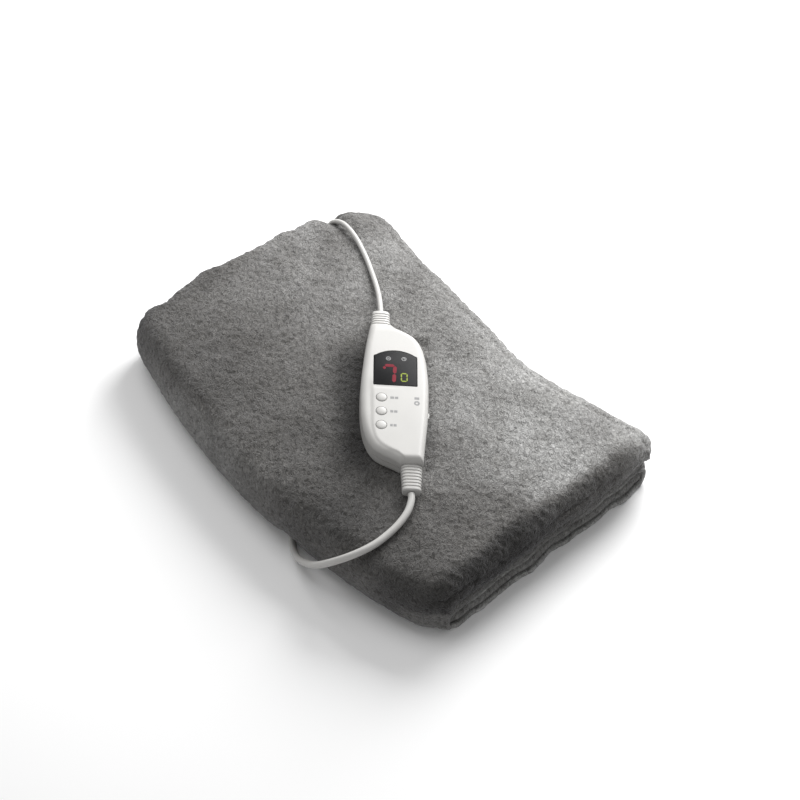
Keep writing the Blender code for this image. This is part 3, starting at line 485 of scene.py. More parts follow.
def loops_mesh(name, loops):
    """A closed skin over a row of closed loops, capped at both ends."""
    loops = np.asarray(loops, float)
    rows, columns = loops.shape[:2]
    mesh = bpy.data.meshes.new(name)
    faces = []
    for row in range(rows - 1):
        here, below = row * columns, (row + 1) * columns
        for column in range(columns):
            after = (column + 1) % columns
            faces.append((here + column, here + after, below + after, below + column))
    faces.append(tuple(range(columns)))
    faces.append(tuple(range((rows - 1) * columns, rows * columns)))
    mesh.from_pydata(loops.reshape(-1, 3).tolist(), [], faces)
    shape_data = bmesh.new()
    shape_data.from_mesh(mesh)
    bmesh.ops.recalc_face_normals(shape_data, faces=shape_data.faces)
    shape_data.to_mesh(mesh)
    shape_data.free()
    return mesh


def prism(name, outline, low, high, rounding=0.0):
    """A solid over an outline in (x, y), its upper edge rounded."""
    outline = np.array(outline, float)
    before, after = np.roll(outline, 1, axis=0), np.roll(outline, -1, axis=0)
    along = unit(after - before)
    inward = np.stack([-along[:, 1], along[:, 0]], axis=1)
    area = np.sum(outline[:, 0] * after[:, 1] - outline[:, 1] * after[:, 0])
    inward *= copysign(1, area)
    loops = [np.column_stack([outline, np.full(len(outline), low)])]
    for angle in (0, 30, 60, 90) if rounding else (0,):
        turn = radians(angle)
        shrunk = outline + inward * rounding * (1 - cos(turn))
        height = high - rounding + rounding * sin(turn)
        loops.append(np.column_stack([shrunk, np.full(len(outline), height)]))
    return loops_mesh(name, loops)


def cut(mesh, *others):
    """The mesh with the others taken out of it."""
    target = new_object("target", mesh)
    for other_mesh in others:
        other = new_object("cutter", other_mesh)
        change = target.modifiers.new("cut", "BOOLEAN")
        change.operation = "DIFFERENCE"
        change.solver = "EXACT"
        change.object = other
        evaluated = target.evaluated_get(bpy.context.evaluated_depsgraph_get())
        result = bpy.data.meshes.new_from_object(evaluated)
        target.modifiers.clear()
        target.data = result
        bpy.data.objects.remove(other)
    result = target.data
    bpy.data.objects.remove(target)
    return result


def distance_to_line(x, y, line):
    """The distance in (x, y) to the nearest place on a line of points."""
    nearest = np.full(np.shape(x), 1e9)
    for (ax, ay, *_), (bx, by, *_) in zip(line, line[1:]):
        dx, dy = bx - ax, by - ay
        share = np.clip(((x - ax) * dx + (y - ay) * dy) / (dx * dx + dy * dy), 0, 1)
        nearest = np.minimum(nearest, np.hypot(x - ax - share * dx, y - ay - share * dy))
    return nearest


def dense_outline():
    """The case's outline as a closed line of close points."""
    ys = np.linspace(CASE_LOW_END, CASE_HIGH_END, 120)
    right = [(float(CASE_RIGHT(y)), float(y)) for y in ys[::-1]]
    left = [(float(CASE_LEFT(y)), float(y)) for y in ys]
    return [*right, *left, right[0]]


CASE_EDGE_LINE = dense_outline()


def face_height(x, y):
    """The upper face: level in the middle and falling to the sides. Below the window it has a raised panel:
    left of the panel's edge the face steps down, and slopes on near the lower end."""
    beyond = np.maximum(np.abs(x) - 15, 0) / 11
    lean = PLATEAU_EDGE(y + 0.5) - PLATEAU_EDGE(y - 0.5)
    from_edge = (x - PLATEAU_EDGE(y)) / np.sqrt(1 + lean**2)
    step = 0.75 * ease(0.0, -1.8, from_edge) * ease(16, -6, y)
    slope = 0.2 * np.maximum(-from_edge - 1.0, 0) * ease(-20, -52, y)
    groove_ends = ease(9, -4, x) * ease(-18.5, -15.5, x)
    groove = 0.3 * np.exp(-(((y - 2.9) / 0.8) ** 2)) * groove_ends  # just below the window
    return CASE_TOP - 0.5 * beyond**2 - step - slope - groove


def end_fall(y):
    """How far the face falls towards the strain reliefs, in a rounding at each end."""
    drop = 4.4
    lower, upper = np.clip((-64 - y) / 4.6, 0, 1), np.clip((y - 61) / 12.5, 0, 1)
    return drop * (1 - np.sqrt(1 - lower**2)) + drop * (1 - np.sqrt(1 - upper**2))


def case_block(name, inset, upper, rows, columns):
    """One half of the case: the outer form, or with an inset the room inside it."""
    if inset:
        ys = np.linspace(CASE_LOW_END + inset, CASE_HIGH_END - inset, rows)
    else:
        rim = 5  # the rows are closer together this near to an end
        near_end = rim * (1 - np.cos(np.linspace(0, pi / 2, 9)))
        middle = np.linspace(CASE_LOW_END + rim, CASE_HIGH_END - rim, rows)
        ys = np.concatenate([CASE_LOW_END + near_end[:-1], middle, CASE_HIGH_END - near_end[-2::-1]])
    shares = 0.5 - 0.5 * np.cos(np.linspace(0, pi, columns))
    edge = CASE_EDGE - inset
    grid_y = np.repeat(ys[:, None], columns, axis=1)
    left, right = CASE_LEFT(grid_y) + inset, CASE_RIGHT(grid_y) - inset
    grid_x = left + (right - left) * shares
    inside = np.maximum(distance_to_line(grid_x, grid_y, CASE_EDGE_LINE) - inset, 0)
    rounding = edge - np.sqrt(np.maximum(edge**2 - np.maximum(edge - inside, 0) ** 2, 0))
    # a room reaches past the seam, and the stops are shares of the side's height
    past = 0.5
    if upper:
        top = CASE_TOP - inset if inset else face_height(grid_x, grid_y)
        face = top - rounding - end_fall(grid_y)
        low, stops = -past if inset else SEAM, (0.34, 0.69)
    else:
        face = CASE_BOTTOM + inset + rounding
        low, stops = past if inset else -SEAM, (0.36, 0.72)
    loops = []
    for row, y in enumerate(ys):
        x_left, x_right = grid_x[row, 0], grid_x[row, -1]
        loop = [(x_left, y, low), *((x_left, y, stop * face[row, 0]) for stop in stops)]
        loop += [(x, y, z) for x, z in zip(grid_x[row], face[row])]
        loop += [*((x_right, y, stop * face[row, -1]) for stop in reversed(stops)), (x_right, y, low)]
        loops.append(loop)
    return loops_mesh(name, loops)


def window_edge(inset):
    """The window's outline with its arched top and softened corners."""
    left, right = WINDOW["left"] + inset, WINDOW["right"] - inset
    bottom = WINDOW["bottom"] + inset
    rise = WINDOW["arch_top"] - WINDOW["side_top"]
    half = (WINDOW["right"] - WINDOW["left"]) / 2
    radius = (half**2 + rise**2) / (2 * rise)
    middle = (WINDOW["right"] + WINDOW["left"]) / 2
    centre_y = WINDOW["arch_top"] - radius
    soft = 2.2 - inset
    reach = asin((half - inset - soft * 0.8) / radius)
    arch = [
        (middle + (radius - inset) * sin(turn), centre_y + (radius - inset) * cos(turn))
        for turn in np.linspace(-reach, reach, 25)
    ]
    top = arch[0][1]
    return [
        (left, bottom + 0.8), (left, top - 1.6), (left + 0.45, top - 0.6), *arch,
        (right - 0.45, top - 0.6), (right, top - 1.6), (right, bottom + 0.8), (right - 0.25, bottom + 0.2),
        (right - 0.8, bottom), (left + 0.8, bottom), (left + 0.25, bottom + 0.2),
    ]


def box_outline(left, right, bottom, top):
    return [(left, bottom), (right, bottom), (right, top), (left, top)]


def ring_outline(at, radius, count=32):
    turns = [2 * pi * step / count for step in range(count)]
    return [(at[0] + radius * cos(turn), at[1] + radius * sin(turn)) for turn in turns]


def relief_loops(end, grow=0.0, grooves=0):
    """A flat tapered sleeve with cross grooves, out of one end of the case. Without grooves it is the room
    for the sleeve in the case, so it has no flare."""
    middle, face, tip = RELIEFS[end]
    way = copysign(1, face)
    inner = face - way * RELIEF_INSIDE
    span = abs(tip - inner)
    squareness, count = 0.62, 40
    loops = []
    for station in np.linspace(0, span, 150):
        share = station / span
        outside = max(0.0, station - (RELIEF_INSIDE + 0.2))
        flare = 1 + RELIEF_FLARE * min(1.0, outside / 0.5) * (grooves > 0)
        half_width, half_height = (
            (start + (stop - start) * share) * flare + grow
            for start, stop in (RELIEF_HALF_WIDTH, RELIEF_HALF_HEIGHT)
        )
        for index in range(grooves):
            near = abs(station - RELIEF_INSIDE - GROOVE_START - GROOVE_PITCH * index) / GROOVE_HALF
            if near < 1:
                depth = GROOVE_DEPTH * cos(near * pi / 2) ** 0.5
                half_width -= depth
                half_height -= depth
        to_tip = max(0.0, RELIEF_ROUNDING - (span - station)) / RELIEF_ROUNDING
        soften = RELIEF_ROUNDING * (1 - sqrt(1 - to_tip**2))
        half_width -= soften
        half_height -= soften
        loop = []
        for step in range(count):
            turn = 2 * pi * step / count
            across, up = cos(turn), sin(turn)
            loop.append((
                middle + half_width * copysign(abs(across) ** squareness, across), inner + way * station,
                half_height * copysign(abs(up) ** squareness, up),
            ))
        loops.append(loop)
    return loops


def turned_mesh(name, profile, at):
    """A profile of (radius, height) turned about an upright axis."""
    loops = [[(*place, height) for place in ring_outline(at, radius, 40)] for radius, height in profile]
    return loops_mesh(name, loops)


def bar(x0, y0, x1, y1, width):
    """The outline of a lit segment with pointed ends."""
    along = Vector((x1 - x0, y1 - y0)).normalized()
    side = Vector((-along.y, along.x)) * width / 2
    a, b, tip = Vector((x0, y0)), Vector((x1, y1)), along * width / 2
    return [tuple(p) for p in (a, a + tip + side, b - tip + side, b, b - tip - side, a + tip - side)]


def joined(name, meshes):
    """Several meshes as one."""
    shape_data = bmesh.new()
    for mesh in meshes:
        shape_data.from_mesh(mesh)
    result = bpy.data.meshes.new(name)
    shape_data.to_mesh(result)
    shape_data.free()
    return result


def prints(name, outlines, low, high, slot, show=None):
    """Flat marks in outlines, as one piece."""
    case_piece(name, joined(name, [prism(name, outline, low, high) for outline in outlines]), slot, show=show)


def ring(at, radius, width, low, high):
    """A flat ring, as a mesh."""
    count = 28
    outer, inner = ring_outline(at, radius, count), ring_outline(at, radius - width, count)
    rows = ((inner, low), (outer, low), (outer, high), (inner, high))
    points = [(*place, height) for places, height in rows for place in places]
    faces = []
    for row in range(4):
        here, below = row * count, (row + 1) % 4 * count
        for step in range(count):
            after = (step + 1) % count
            faces.append((here + step, here + after, below + after, below + step))
    mesh = bpy.data.meshes.new("ring")
    mesh.from_pydata(points, [], faces)
    return mesh


def make_case():
    """The two shells, hollow and open at the window, the buttons, the switch and the strain reliefs."""
    low_y, high_y = KNOB_Y - KNOB_LENGTH / 2 - KNOB_TRAVEL - PLAY, KNOB_Y + KNOB_LENGTH / 2 + PLAY
    slot = box_outline(20, 40, low_y, high_y)  # through the right wall
    knob_room = prism("knob_room", slot, -KNOB_HEIGHT / 2 - PLAY, KNOB_HEIGHT / 2 + PLAY)
    sleeves = [loops_mesh("sleeve", relief_loops(end, 0.25)) for end in RELIEFS]
    low, high = 5, 20  # through the face
    holes = [prism("window_hole", window_edge(-PLAY), low, high)]
    for y in BUTTON_YS.values():
        holes.append(prism("button_hole", ring_outline((BUTTON_X, y), BUTTON_RADIUS + PLAY), low, high))
    upper = cut(
        case_block("upper_case", 0, True, 112, 56), case_block("room", CASE_WALL, True, 30, 10), *holes,
        *[mesh.copy() for mesh in sleeves], knob_room.copy(),
    )
    lower = cut(
        case_block("lower_case", 0, False, 70, 36), case_block("room", CASE_WALL, False, 30, 10), *sleeves,
        knob_room,
    )
    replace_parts(case_piece("upper_case", upper), "upper_shell")
    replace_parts(case_piece("lower_case", lower), "lower_shell")


def make_buttons():
    """Three domed caps, each with a flange under the face and a stem down to its switch."""
    top, dome_height = CASE_TOP + 1.0, 1.3
    flange_radius, flange_top, flange_bottom = BUTTON_RADIUS + 1, 9.7, 8.7
    stem_radius, stem_end = 1.8, 6.4
    dome = [
        (BUTTON_RADIUS * sin(turn), top - dome_height + dome_height * cos(turn) ** 0.8)
        for turn in np.linspace(0.05, pi / 2, 9)
    ]
    profile = [
        *dome, (BUTTON_RADIUS, flange_top), (flange_radius, flange_top), (flange_radius, flange_bottom),
        (stem_radius, flange_bottom), (stem_radius, stem_end),
    ]
    for name, y in BUTTON_YS.items():
        mesh = turned_mesh(f"{name}_cap", profile, (BUTTON_X, y))
        cap = case_piece(f"{name}_cap", mesh, body=f"{name}_button", smooth=50)
        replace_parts(cap, f"button_{name}")


def make_knob():
    """The side switch's knob: a bar through the wall with three grooves in its outer end."""
    half = KNOB_LENGTH / 2
    ridged = half - 0.9
    grip = [(KNOB_IN, KNOB_Y - half), (KNOB_OUT - 1.8, KNOB_Y - half), (KNOB_OUT - 0.5, KNOB_Y - half + 0.5)]
    for step in range(31):
        y = ridged * (step / 15 - 1)
        grip.append((KNOB_OUT - 0.3 * (0.5 + 0.5 * cos(y / ridged * 3 * pi)), KNOB_Y + y))
    grip += [(KNOB_OUT - 0.5, KNOB_Y + half - 0.5), (KNOB_OUT - 1.8, KNOB_Y + half), (KNOB_IN, KNOB_Y + half)]
    mesh = prism("switch_knob", grip, -KNOB_HEIGHT / 2, KNOB_HEIGHT / 2, 0.4)
    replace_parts(case_piece("switch_knob", mesh, body="power_switch"), "power_switch_knob")


def make_display():
    """The lit digits and two plain signs in the window."""
    seven = [
        bar(-8.4, 25.0, -0.4, 25.0, 2.8), bar(-0.1, 24.6, -0.5, 16.7, 2.9),
        bar(-0.6, 16.4, -1.0, 7.6, 2.9), bar(-8.5, 24.2, -8.7, 20.8, 2.3),
    ]
    prints("large_digit", seven, LIT_FROM, LIT_TO, "led_red")
    zero = [bar(5.1, 17.2, 9.2, 17.2, 1.0), bar(5.0, 9.3, 9.1, 9.3, 1.0)]
    zero += [bar(x, top, x, top - 3.5, 1.0) for top in (16.9, 13.1) for x in (4.9, 9.4)]
    prints("small_digit", zero, LIT_FROM, LIT_TO, "led_green")
    # each sign is a ring with one or two strokes in it
    strokes = ((-6.4, 32.4, -4.4, 32.4), (7.0, 32.5, 7.0, 34.0), (6.9, 32.6, 8.2, 32.6))
    signs = [ring(at, 1.9, 0.45, LIT_FROM, SIGN_TO) for at in ((-5.4, 32.4), (7.0, 32.6))]
    signs += [prism("stroke", bar(*stroke, 0.5), LIT_FROM, SIGN_TO) for stroke in strokes]
    case_piece("window_icons", joined("window_icons", signs), "window", show="print_pale")


def make_marks():
    """Plain dashes beside the buttons, and a line and a ring beside the switch."""
    half_height, gap = 1.2, 0.6
    dashes = []
    for y, lengths in zip(BUTTON_YS.values(), ((3.0, 2.6), (2.4, 2.6), (2.0, 2.4))):
        start = -3.8
        for length in lengths:
            dashes.append(box_outline(start, start + length, y - half_height, y + half_height))
            start += length + gap
    prints("button_marks", dashes, CASE_TOP - 0.05, CASE_TOP + 0.04, "white_plastic", "print_grey")
    low, high = CASE_TOP - 0.35, CASE_TOP + 0.02  # the face is a little lower there
    line = prism("mark", box_outline(15.1, 18.9, -8.9, -6.5), low, high)
    marks = joined("switch_marks", [line, ring((17.0, -12.6), 2.3, 1.4, low, high)])
    case_piece("switch_marks", marks, show="print_grey")


def make_controller():
    make_case()
    for end, grooves in GROOVES.items():
        sleeve = loops_mesh(f"{end}_relief", relief_loops(end, 0, grooves))
        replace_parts(case_piece(f"{end}_relief", sleeve, smooth=60), f"strain_relief_{end}")
    pane = case_piece("window_pane", prism("window_pane", window_edge(0), 10.4, 11.9, 0.5), "window")
    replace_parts(pane, "display_window")
    make_buttons()
    make_knob()
    make_display()
    make_marks()


# ---- the throw

def path(start, heading, parts):
    """A route of (length, turn) parts in a plane, as arrays of distance, place and heading. Left turns are
    positive."""
    place = np.array(start, float)
    angle = radians(heading)
    rows = [(0.0, place[0], place[1], angle)]
    step = 0.5
    for length, turn in parts:
        count = max(1, round(length / step))
        for _ in range(count):
            angle += radians(turn) / count / 2
            place = place + np.array((cos(angle), sin(angle))) * length / count
            angle += radians(turn) / count / 2
            rows.append((rows[-1][0] + length / count, place[0], place[1], angle))
    return np.array(rows).T


def arc(radius, turn):
    """A part of a path, with its turn in degrees."""
    return radius * radians(abs(turn)), turn


def layer_path(drape, drop, set_back, inner_back):
    """One slab's four layers in (y, minus depth), from the outer hem to the rear and back, twice. The hem may
    drape over the slab's front end in an arc. Also gives the distance at which the rear bend starts."""
    half = PITCH / 2
    front = FRONT + CLOTH / 2 + set_back
    inner_front = FRONT + inner_back
    rear = REAR - 1.5 * PITCH
    bend = [(drop, 0), arc(drape, -90)] if drape else []
    start = (front, -half - drape - drop)
    rows = path(start, 90 if drape else 0, [
        *bend, (rear - front - drape, 0), arc(1.5 * PITCH, -180), (rear - inner_front - half, 0),
        arc(half, -180), (rear - inner_front - half, 0), arc(half, 180), (rear - inner_front - 4, 0),
    ])
    return rows, sum(length for length, _ in bend) + rear - front - drape


def slab_path():
    """The slabs' middle in (x, z): the top slab to the left, round the left side, the bottom slab to the
    right, and two inside. Also gives the distance at which each part ends."""
    wrap = 1.5 * SLAB
    left = LEFT + 2 * SLAB
    droop, droop_turn = 24.0, 32  # the top slab's free end hangs in an arc
    run_in = droop * sin(radians(droop_turn))
    fall = droop * (1 - cos(radians(droop_turn)))
    parts = [
        arc(droop, droop_turn), (RIGHT - 2 - run_in - left, 0), arc(wrap, 180), (RIGHT - SLAB - left, 0),
        arc(SLAB / 2, 180), (RIGHT - SLAB - left, 0), arc(SLAB / 2, -180), (RIGHT - 8 - left, 0),
    ]
    rows = path((RIGHT - 2, HEIGHT - SLAB / 2 - fall), 180 - droop_turn, parts)
    return rows, np.cumsum([length for length, _ in parts])


TOP_LAYERS, TOP_FIRST = layer_path(14.0, 1.5, 0, 9)
BOTTOM_LAYERS, BOTTOM_FIRST = layer_path(0, 0, -1, 2)
INNER_LAYERS, INNER_FIRST = layer_path(8.0, 4.0, 5.5, 13)
SLABS, SLAB_STOPS = slab_path()
OUTLINE_LEFT = through((
    (-194, -101), (-188, -103.5), (-180, -108.5), (-160, -118), (-137, -125.5), (-115, -129.5),
    (-97, -132), (-60, -137.5), (-12, -140.5), (38, -139), (84, -134), (143, -123.5), (170, -117),
    (182, -112), (190, -104), (194, -99),
))
OUTLINE_RIGHT = through((
    (-194, 116), (-186, 122), (-172, 124), (-152, 119), (-127, 113.5), (-100, 106.5), (-76, 103.5),
    (-50, 103.5), (-15, 108.5), (27, 112), (54, 114), (84, 115.5), (110, 121), (136, 126), (156, 126),
    (168, 119), (180, 107), (190, 95), (194, 91),
))
REAR_SHIFT = through((
    (-140, -4), (-128, 0), (-115, -1), (-100, -4), (-85, -3), (-40, 2), (-18, -1), (20, -1), (50, -4),
    (65, -3), (80, -7), (95, -9), (110, -9), (130, -10),
))


def layer_place(layers, first, v):
    """(y, depth) at v along the layers, stretched a little so that the rear folds of the slabs line up."""
    along = np.interp(v, (0, TOP_FIRST, TOP_LAYERS[0][-1]), (0, first, layers[0][-1]))
    return np.interp(along, layers[0], layers[1]), -np.interp(along, layers[0], layers[2])


def fold(u, v):
    """Where the folded cloth's point (u, v), in mm from its corner, lies in the squared-off stack."""
    middle_x, middle_z, heading = (np.interp(u, SLABS[0], row) for row in SLABS[1:])
    top = np.interp(u, SLAB_STOPS[1:3], (1, 0))
    inner = np.interp(u, SLAB_STOPS[3:5], (0, 1))
    y = depth = 0
    for share, layers, first in (
        (top, TOP_LAYERS, TOP_FIRST), (1 - top - inner, BOTTOM_LAYERS, BOTTOM_FIRST),
        (inner, INNER_LAYERS, INNER_FIRST),
    ):
        place = layer_place(layers, first, v)
        y, depth = y + share * place[0], depth + share * place[1]
    out = SLAB / 2 - depth
    x = middle_x + out * np.sin(heading)
    z = middle_z - out * np.cos(heading)
    return x, y, z


def field(x, y, z, size, seed):
    """Smooth noise from -1 to 1 at each point, with features of that size in mm."""
    flat = [noise.noise(Vector((a / size + seed, b / size, c / size))) for a, b, c in zip(x, y, z)]
    return np.array(flat)


def shape(x, y, z):
    """From the squared-off stack to the soft bundle."""
    left, right = OUTLINE_LEFT(y), OUTLINE_RIGHT(y)
    level = z / HEIGHT
    zero = np.zeros_like(x)
    at_front, at_rear, at_right = ease(-140, -180, y), ease(150, 186, y), ease(95, 130, x)
    slab = np.floor(np.clip(z / SLAB, 0, 3.999))  # 0 to 3, from below
    # towards the front the two lower slabs are pressed flat, and those above them stand fuller
    sagged = np.interp(z, (0, 13, 26, 35, 52), (0, 8.5, 17, 33.5, 52))
    z = z + at_front * (1 - 0.85 * ease(88, 120, x)) * (sagged - z)
    z = z + 3.0 * ease(95, 122, x) * ease(12, 24, z) * ease(46, 38, z)
    # soft, uneven ends of the layers
    wave = field(x, zero, slab * 31, 55, 3.1) * 2.0 + field(x, zero, slab * 17, 22, 7.7) * 1.1
    low_wave = field(x, zero, zero, 25, 11.3) * 3.6 * ease(20, 0, z)
    y = y + at_front * (wave + low_wave) - at_rear * wave + REAR_SHIFT(x) * ease(110, 186, y)
    z = z + at_front * field(x, zero, slab, 38, 6.2) * 1.6 * ease(4, 12, z) * ease(50, 40, z)
    x = x + at_right * (field(zero, y, slab * 13, 60, 1.3) * 2.0 + 4.0 * ease(40, 34, z) * at_front)
    # the outline
    middle, half = (left + right) / 2, (right - left) / 2
    x = middle + x * half / RIGHT
    # crown and hollows
    sag = 2.2 * ease(-140, -190, y) + 3.0 * ease(150, 192, y)
    sag = sag + 3.5 * ease(-30, 0, x - right)
    sway = field(x, y, zero, 95, 5.5) * 2.2 + field(x, y, zero, 42, 9.5) * 1.1
    # low creases, in some places only
    along, across = 0.8 * x + 0.6 * y, 0.8 * y - 0.6 * x
    creases = np.clip(1 - np.abs(field(along, 0.4 * across, zero, 26, 14.2)) * 2.2, 0, 1) ** 2
    sway = sway + 0.9 * creases * ease(-0.1, 0.4, field(x, y, zero, 80, 17.0))
    z = z - level * sag + level * sway
    # the lead's valley over the rear edge, and the swelling beside it
    valley = np.exp(-(((x - VALLEY_X) / VALLEY_HALF) ** 2))
    z = z - level * valley * (3 * ease(120, 150, y) + 9 * ease(150, 178, y))
    y = y - valley * 12 * ease(166, 190, y)
    z = z + level * 3.0 * np.exp(-(((x - 114) / 13) ** 2) - ((y - 176) / 18) ** 2)
    return x, y, z


def outside_box(x, y, low_x, high_x, low_y, high_y):
    """How far outside the box each place is."""
    aside = np.maximum(np.maximum(low_x - x, x - high_x), 0)
    beyond = np.maximum(np.maximum(low_y - y, y - high_y), 0)
    return np.hypot(aside, beyond)


def hollow(x, y):
    """Height of the room under the bundle for the coil, the plug, the cord and the connector."""
    to_coil = np.hypot(x - COIL_CENTRE[0], y - COIL_CENTRE[1])
    to_cord = distance_to_line(x, y, [*MAINS_ROUTE[10:], (COIL_CENTRE[0] - COIL_LOW[0], COIL_CENTRE[1])])
    to_plug = outside_box(x, y, -21, 18, -82, 40)
    to_connector = outside_box(x, y, -33, 76, 166, 400)
    to_lead = outside_box(x, y, 76, 100, 168, 400)
    return np.maximum.reduce([
        13.2 * ease(60, 46, to_coil), 15.6 * ease(16, 1, to_plug), 13.6 * ease(14, 1, to_connector),
        8.5 * ease(16, 1, to_lead), 7.2 * ease(13, 4, to_cord),
    ])


def controller_axes(x, y):
    """A place in the controller's own x and y."""
    turn = Matrix.Rotation(-CONTROLLER_TURN, 2)
    dx, dy = x - CONTROLLER_AT.x / MM, y - CONTROLLER_AT.y / MM
    return turn[0][0] * dx + turn[0][1] * dy, turn[1][0] * dx + turn[1][1] * dy


def seat(x, y, z):
    """The controller presses into the top, and the bundle lies over what is under it."""
    z = z + hollow(x, y) * (1 - np.clip(z / HEIGHT, 0, 1))
    local_x, local_y = controller_axes(x, y)
    beyond = np.hypot(np.maximum(np.abs(local_x) - 21, 0), np.maximum(np.abs(local_y) - 62, 0))
    under = CONTROLLER_AT.z / MM + CASE_BOTTOM - local_x * sin(CONTROLLER_ROLL) - 1.2
    inside = ease(16, 4, beyond)
    top = ease(38, 46, z)
    lowered = np.minimum(z, under + 0.35 * np.maximum(beyond - 4, 0))
    return x, y, z + top * inside * (lowered - z)


def grid_lines(spans):
    """Distances along the cloth: for each (from, to, step), evenly spaced lines."""
    lines = []
    for low, high, step in spans:
        lines.append(np.linspace(low, high, max(2, round((high - low) / step) + 1))[:-1])
    lines.append(np.array([spans[-1][1]]))
    return np.concatenate(lines)


def grid_mesh(name, places, painted_light_gain=1.0):
    """A mesh through an array of places in mm, (rows, columns, 3)."""
    rows, columns = places.shape[:2]
    corner = (np.arange(rows - 1)[:, None] * columns + np.arange(columns - 1)[None, :]).ravel()
    faces = np.stack([corner, corner + 1, corner + columns + 1, corner + columns], axis=1)
    mesh = bpy.data.meshes.new(name)
    mesh.from_pydata((places.reshape(-1, 3) * MM).tolist(), [], faces.tolist())
    mesh.shade_smooth()
    # its painted light and shade, times a gain that gives the hems a painted highlight
    paint_light_and_shade(mesh, painted_light_gain)
    return mesh


def paint_light_and_shade(mesh, painted_light_gain):
    """Writes painted light and shade as an attribute: painted light to the right, on the left roll and on the
    lower layers in front, painted shade over the front roll, darker in some patches, and a painted shadow
    beside the controller."""
    places = np.empty(len(mesh.vertices) * 3)
    mesh.vertices.foreach_get("co", places)
    x, y, z = places.reshape(-1, 3).T / MM
    drift = field(x, y, z, 48, 21.0) * 14 + field(x, y, z, 16, 4.4) * 5
    # painted light: lighter to the right, and more so in front
    to_right = ease(-110, 100, x + drift)
    in_front = ease(20, -110, y + 2 * drift)
    light = 0.36 - 0.08 * in_front + (0.4 + 0.55 * in_front) * to_right
    # painted light on the left roll, lighter towards the rear
    left_roll = ease(-116, -132, x)
    light = light + left_roll * (0.45 + 0.35 * ease(-60, 90, y) - light)
    # painted shade over the front roll, fading towards both ends
    front_roll_shade = ease(-166, -180, y + 0.4 * drift) * ease(145, 85, x + 2 * drift)
    light = light * (1 - 0.72 * front_roll_shade * ease(-125, -55, x + drift))
    # a painted shadow in a band beside the controller's left side
    across, along = controller_axes(x, y)
    controller_shadow = ease(-62, -36, across + 0.5 * drift) * ease(-10, -24, across)
    light = light * (1 - 0.6 * controller_shadow * ease(78, 44, along) * ease(-76, -44, along))
    light = light * (1 - 0.26 * ease(-0.1, 0.5, field(x, y, z, 56, 8.8)))
    # painted light on the lower layers in front, lighter still near the floor
    low = ease(31, 24, z) * ease(-150, -176, y)
    light = light + low * (0.5 + 0.4 * ease(13, 4, z) - light)
    # the painted light, times the gain that gives the hems a painted highlight, as a share of the lightest
    values = mesh.attributes.new("painted_light_and_nap", "FLOAT", "POINT")
    values.data.foreach_set("value", np.clip(painted_light_gain * light / LIGHTEST_PAINTED_LIGHT, 0, 1))


def cloth_grid(us, vs):
    """The middle of the folded cloth's thickness, as an array of places in mm."""
    grid_u, grid_v = (side.ravel() for side in np.meshgrid(us, vs, indexing="ij"))
    x, y, z = seat(*shape(*fold(grid_u, grid_v)))
    z = np.maximum(z, CLOTH / 2 + LEAST_HEIGHT)
    return np.stack((x, y, z), axis=1).reshape(len(us), len(vs), 3)


def lip(edge, outward, normal, reach):
    """Rows that turn round a free edge, from the outer face to the inner one."""
    turns = [radians(angle) for angle in (40, 75, 105, 140, 180)]
    return [edge + reach * (cos(turn) * normal + sin(turn) * outward) for turn in turns]


def pile_grid(us, vs):
    """The cloth's outer face with its pile, its hems and two free edges."""
    base = cloth_grid(us, vs)
    normal = unit(np.cross(np.gradient(base, axis=1), np.gradient(base, axis=0)))
    flat = base.reshape(-1, 3).T
    clumps = field(*flat, 2.9, 0.4) * 0.6 + field(*flat, 6.0, 2.9) * 0.5
    clumps = clumps.reshape(base.shape[:2])
    reach = CLOTH / 2 + PILE * (0.75 + clumps)
    from_edge = np.minimum(us[:, None], vs[None, :])
    # the hem stands up along two edges, with its seam's groove inside it
    reach = reach + 0.7 * ease(7, 4, from_edge) - 0.9 * np.exp(-(((from_edge - 7) / 1.3) ** 2))
    face = base + normal * reach[..., None]
    # the free edge at v = 0
    outward = unit(base[:, 0] - base[:, 1])
    rows = lip(base[:, 0], outward, normal[:, 0], reach[:, 0, None])
    face = np.concatenate([np.stack(rows[::-1], axis=1), face], axis=1)
    base = np.concatenate([np.repeat(base[:, :1], len(rows), axis=1), base], axis=1)
    # and the one at u = 0
    outward = unit(base[0] - base[1])
    away = face[0] - base[0]
    rows = lip(base[0], outward, unit(away), np.linalg.norm(away, axis=-1, keepdims=True))
    return np.concatenate([np.stack(rows[::-1], axis=0), face], axis=0)


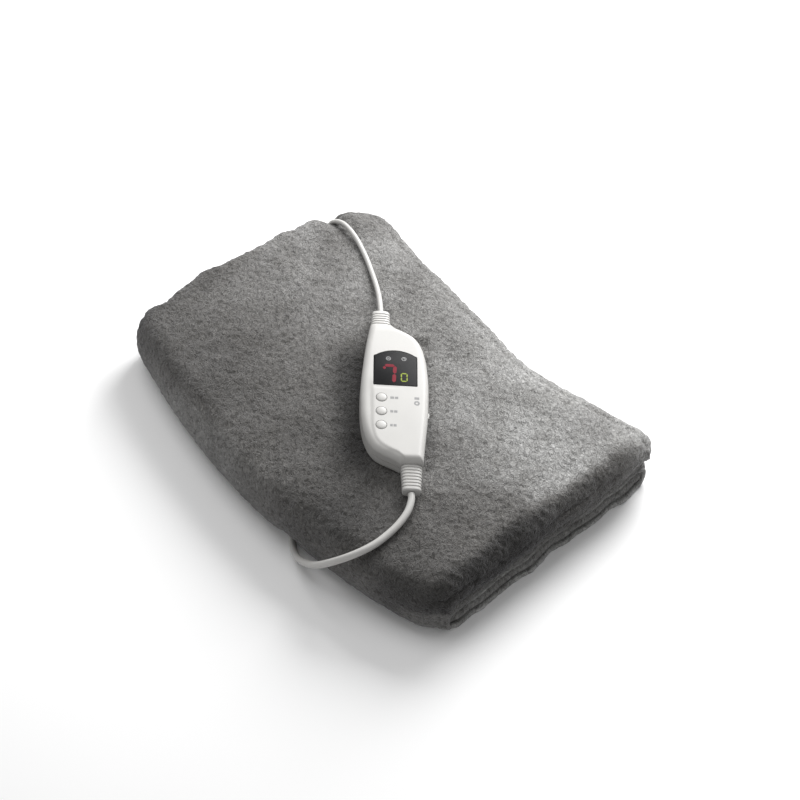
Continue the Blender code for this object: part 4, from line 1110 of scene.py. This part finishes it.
def hem_grid(places, radius):
    """A rounded bead along a row of places in mm, as rings. It swells and narrows a little."""
    along = unit(np.gradient(places, axis=0))
    side = unit(np.cross(along, (0.0, 0.0, 1.0)) + 1e-6)
    up = np.cross(side, along)
    swell = radius * (1 + 0.22 * field(*places.T, 3.2, 1.9) + 0.12 * field(*places.T, 9.0, 6.0))
    rings = [
        places + swell[:, None] * (cos(turn) * side + sin(turn) * up)
        for turn in np.linspace(0, 2 * pi, 11)
    ]
    bead = np.stack(rings, axis=1)
    bead[..., 2] = np.maximum(bead[..., 2], LEAST_HEIGHT)
    return bead


def make_hems(slab_end, layer_end):
    """The four sewn borders, each as a bead that stands a little out of the cloth."""
    zero_u, zero_v = np.zeros(1), np.zeros(1)
    us, vs = np.arange(0, slab_end, 2.0), np.arange(0, layer_end, 3.0)
    borders = [
        cloth_grid(us, zero_v)[:, 0], cloth_grid(us, zero_v + layer_end)[:, 0],
        cloth_grid(zero_u, vs)[0], cloth_grid(zero_u + slab_end, vs)[0],
    ]
    # the beads' painted light is raised, a painted highlight along the hems
    meshes = [grid_mesh("hem", hem_grid(border, HEM_RADIUS), HEM_PAINTED_HIGHLIGHT) for border in borders]
    hems = joined("throw_hems", meshes)
    hems.shade_smooth()
    return add_piece("throw_hems", hems, "fleece")


def make_throw():
    slab_end = SLABS[0][-1]
    layer_end = TOP_LAYERS[0][-1]
    us = grid_lines([(0, slab_end, 6)])
    first, second, third = TOP_FIRST, 2 * TOP_FIRST, 3 * TOP_FIRST
    fine, coarse = 3, 10  # mm, at the folds and between them
    vs = grid_lines([
        (0, 36, fine), (36, first - 10, coarse), (first - 10, first + 30, fine),
        (first + 30, second - 20, coarse), (second - 20, second + 20, fine),
        (second + 20, third - 30, coarse), (third - 30, third + 20, fine), (third + 20, layer_end, coarse),
    ])
    layers = add_piece("throw_layers", grid_mesh("throw_layers", cloth_grid(us, vs)), "fleece")
    wall = layers.modifiers.new("thickness", "SOLIDIFY")
    wall.thickness = CLOTH * MM
    wall.offset = 0
    # the pile covers the top and the left side nearly to the floor, from the front hem into the rear bend
    us = grid_lines([(0, SLAB_STOPS[2] - 14, PILE_STEP)])
    vs = grid_lines([(0, TOP_FIRST + 12, PILE_STEP)])
    pile = add_piece("throw_pile", grid_mesh("throw_pile", pile_grid(us, vs)), "fleece")
    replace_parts(layers, "folded_throw_lower")
    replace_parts(pile, "folded_throw_upper")
    hems = make_hems(slab_end, layer_end)


# ---- run

make_camera()
paint_frame_nodes()
make_cords()
make_controller()
make_throw()
make_studio()
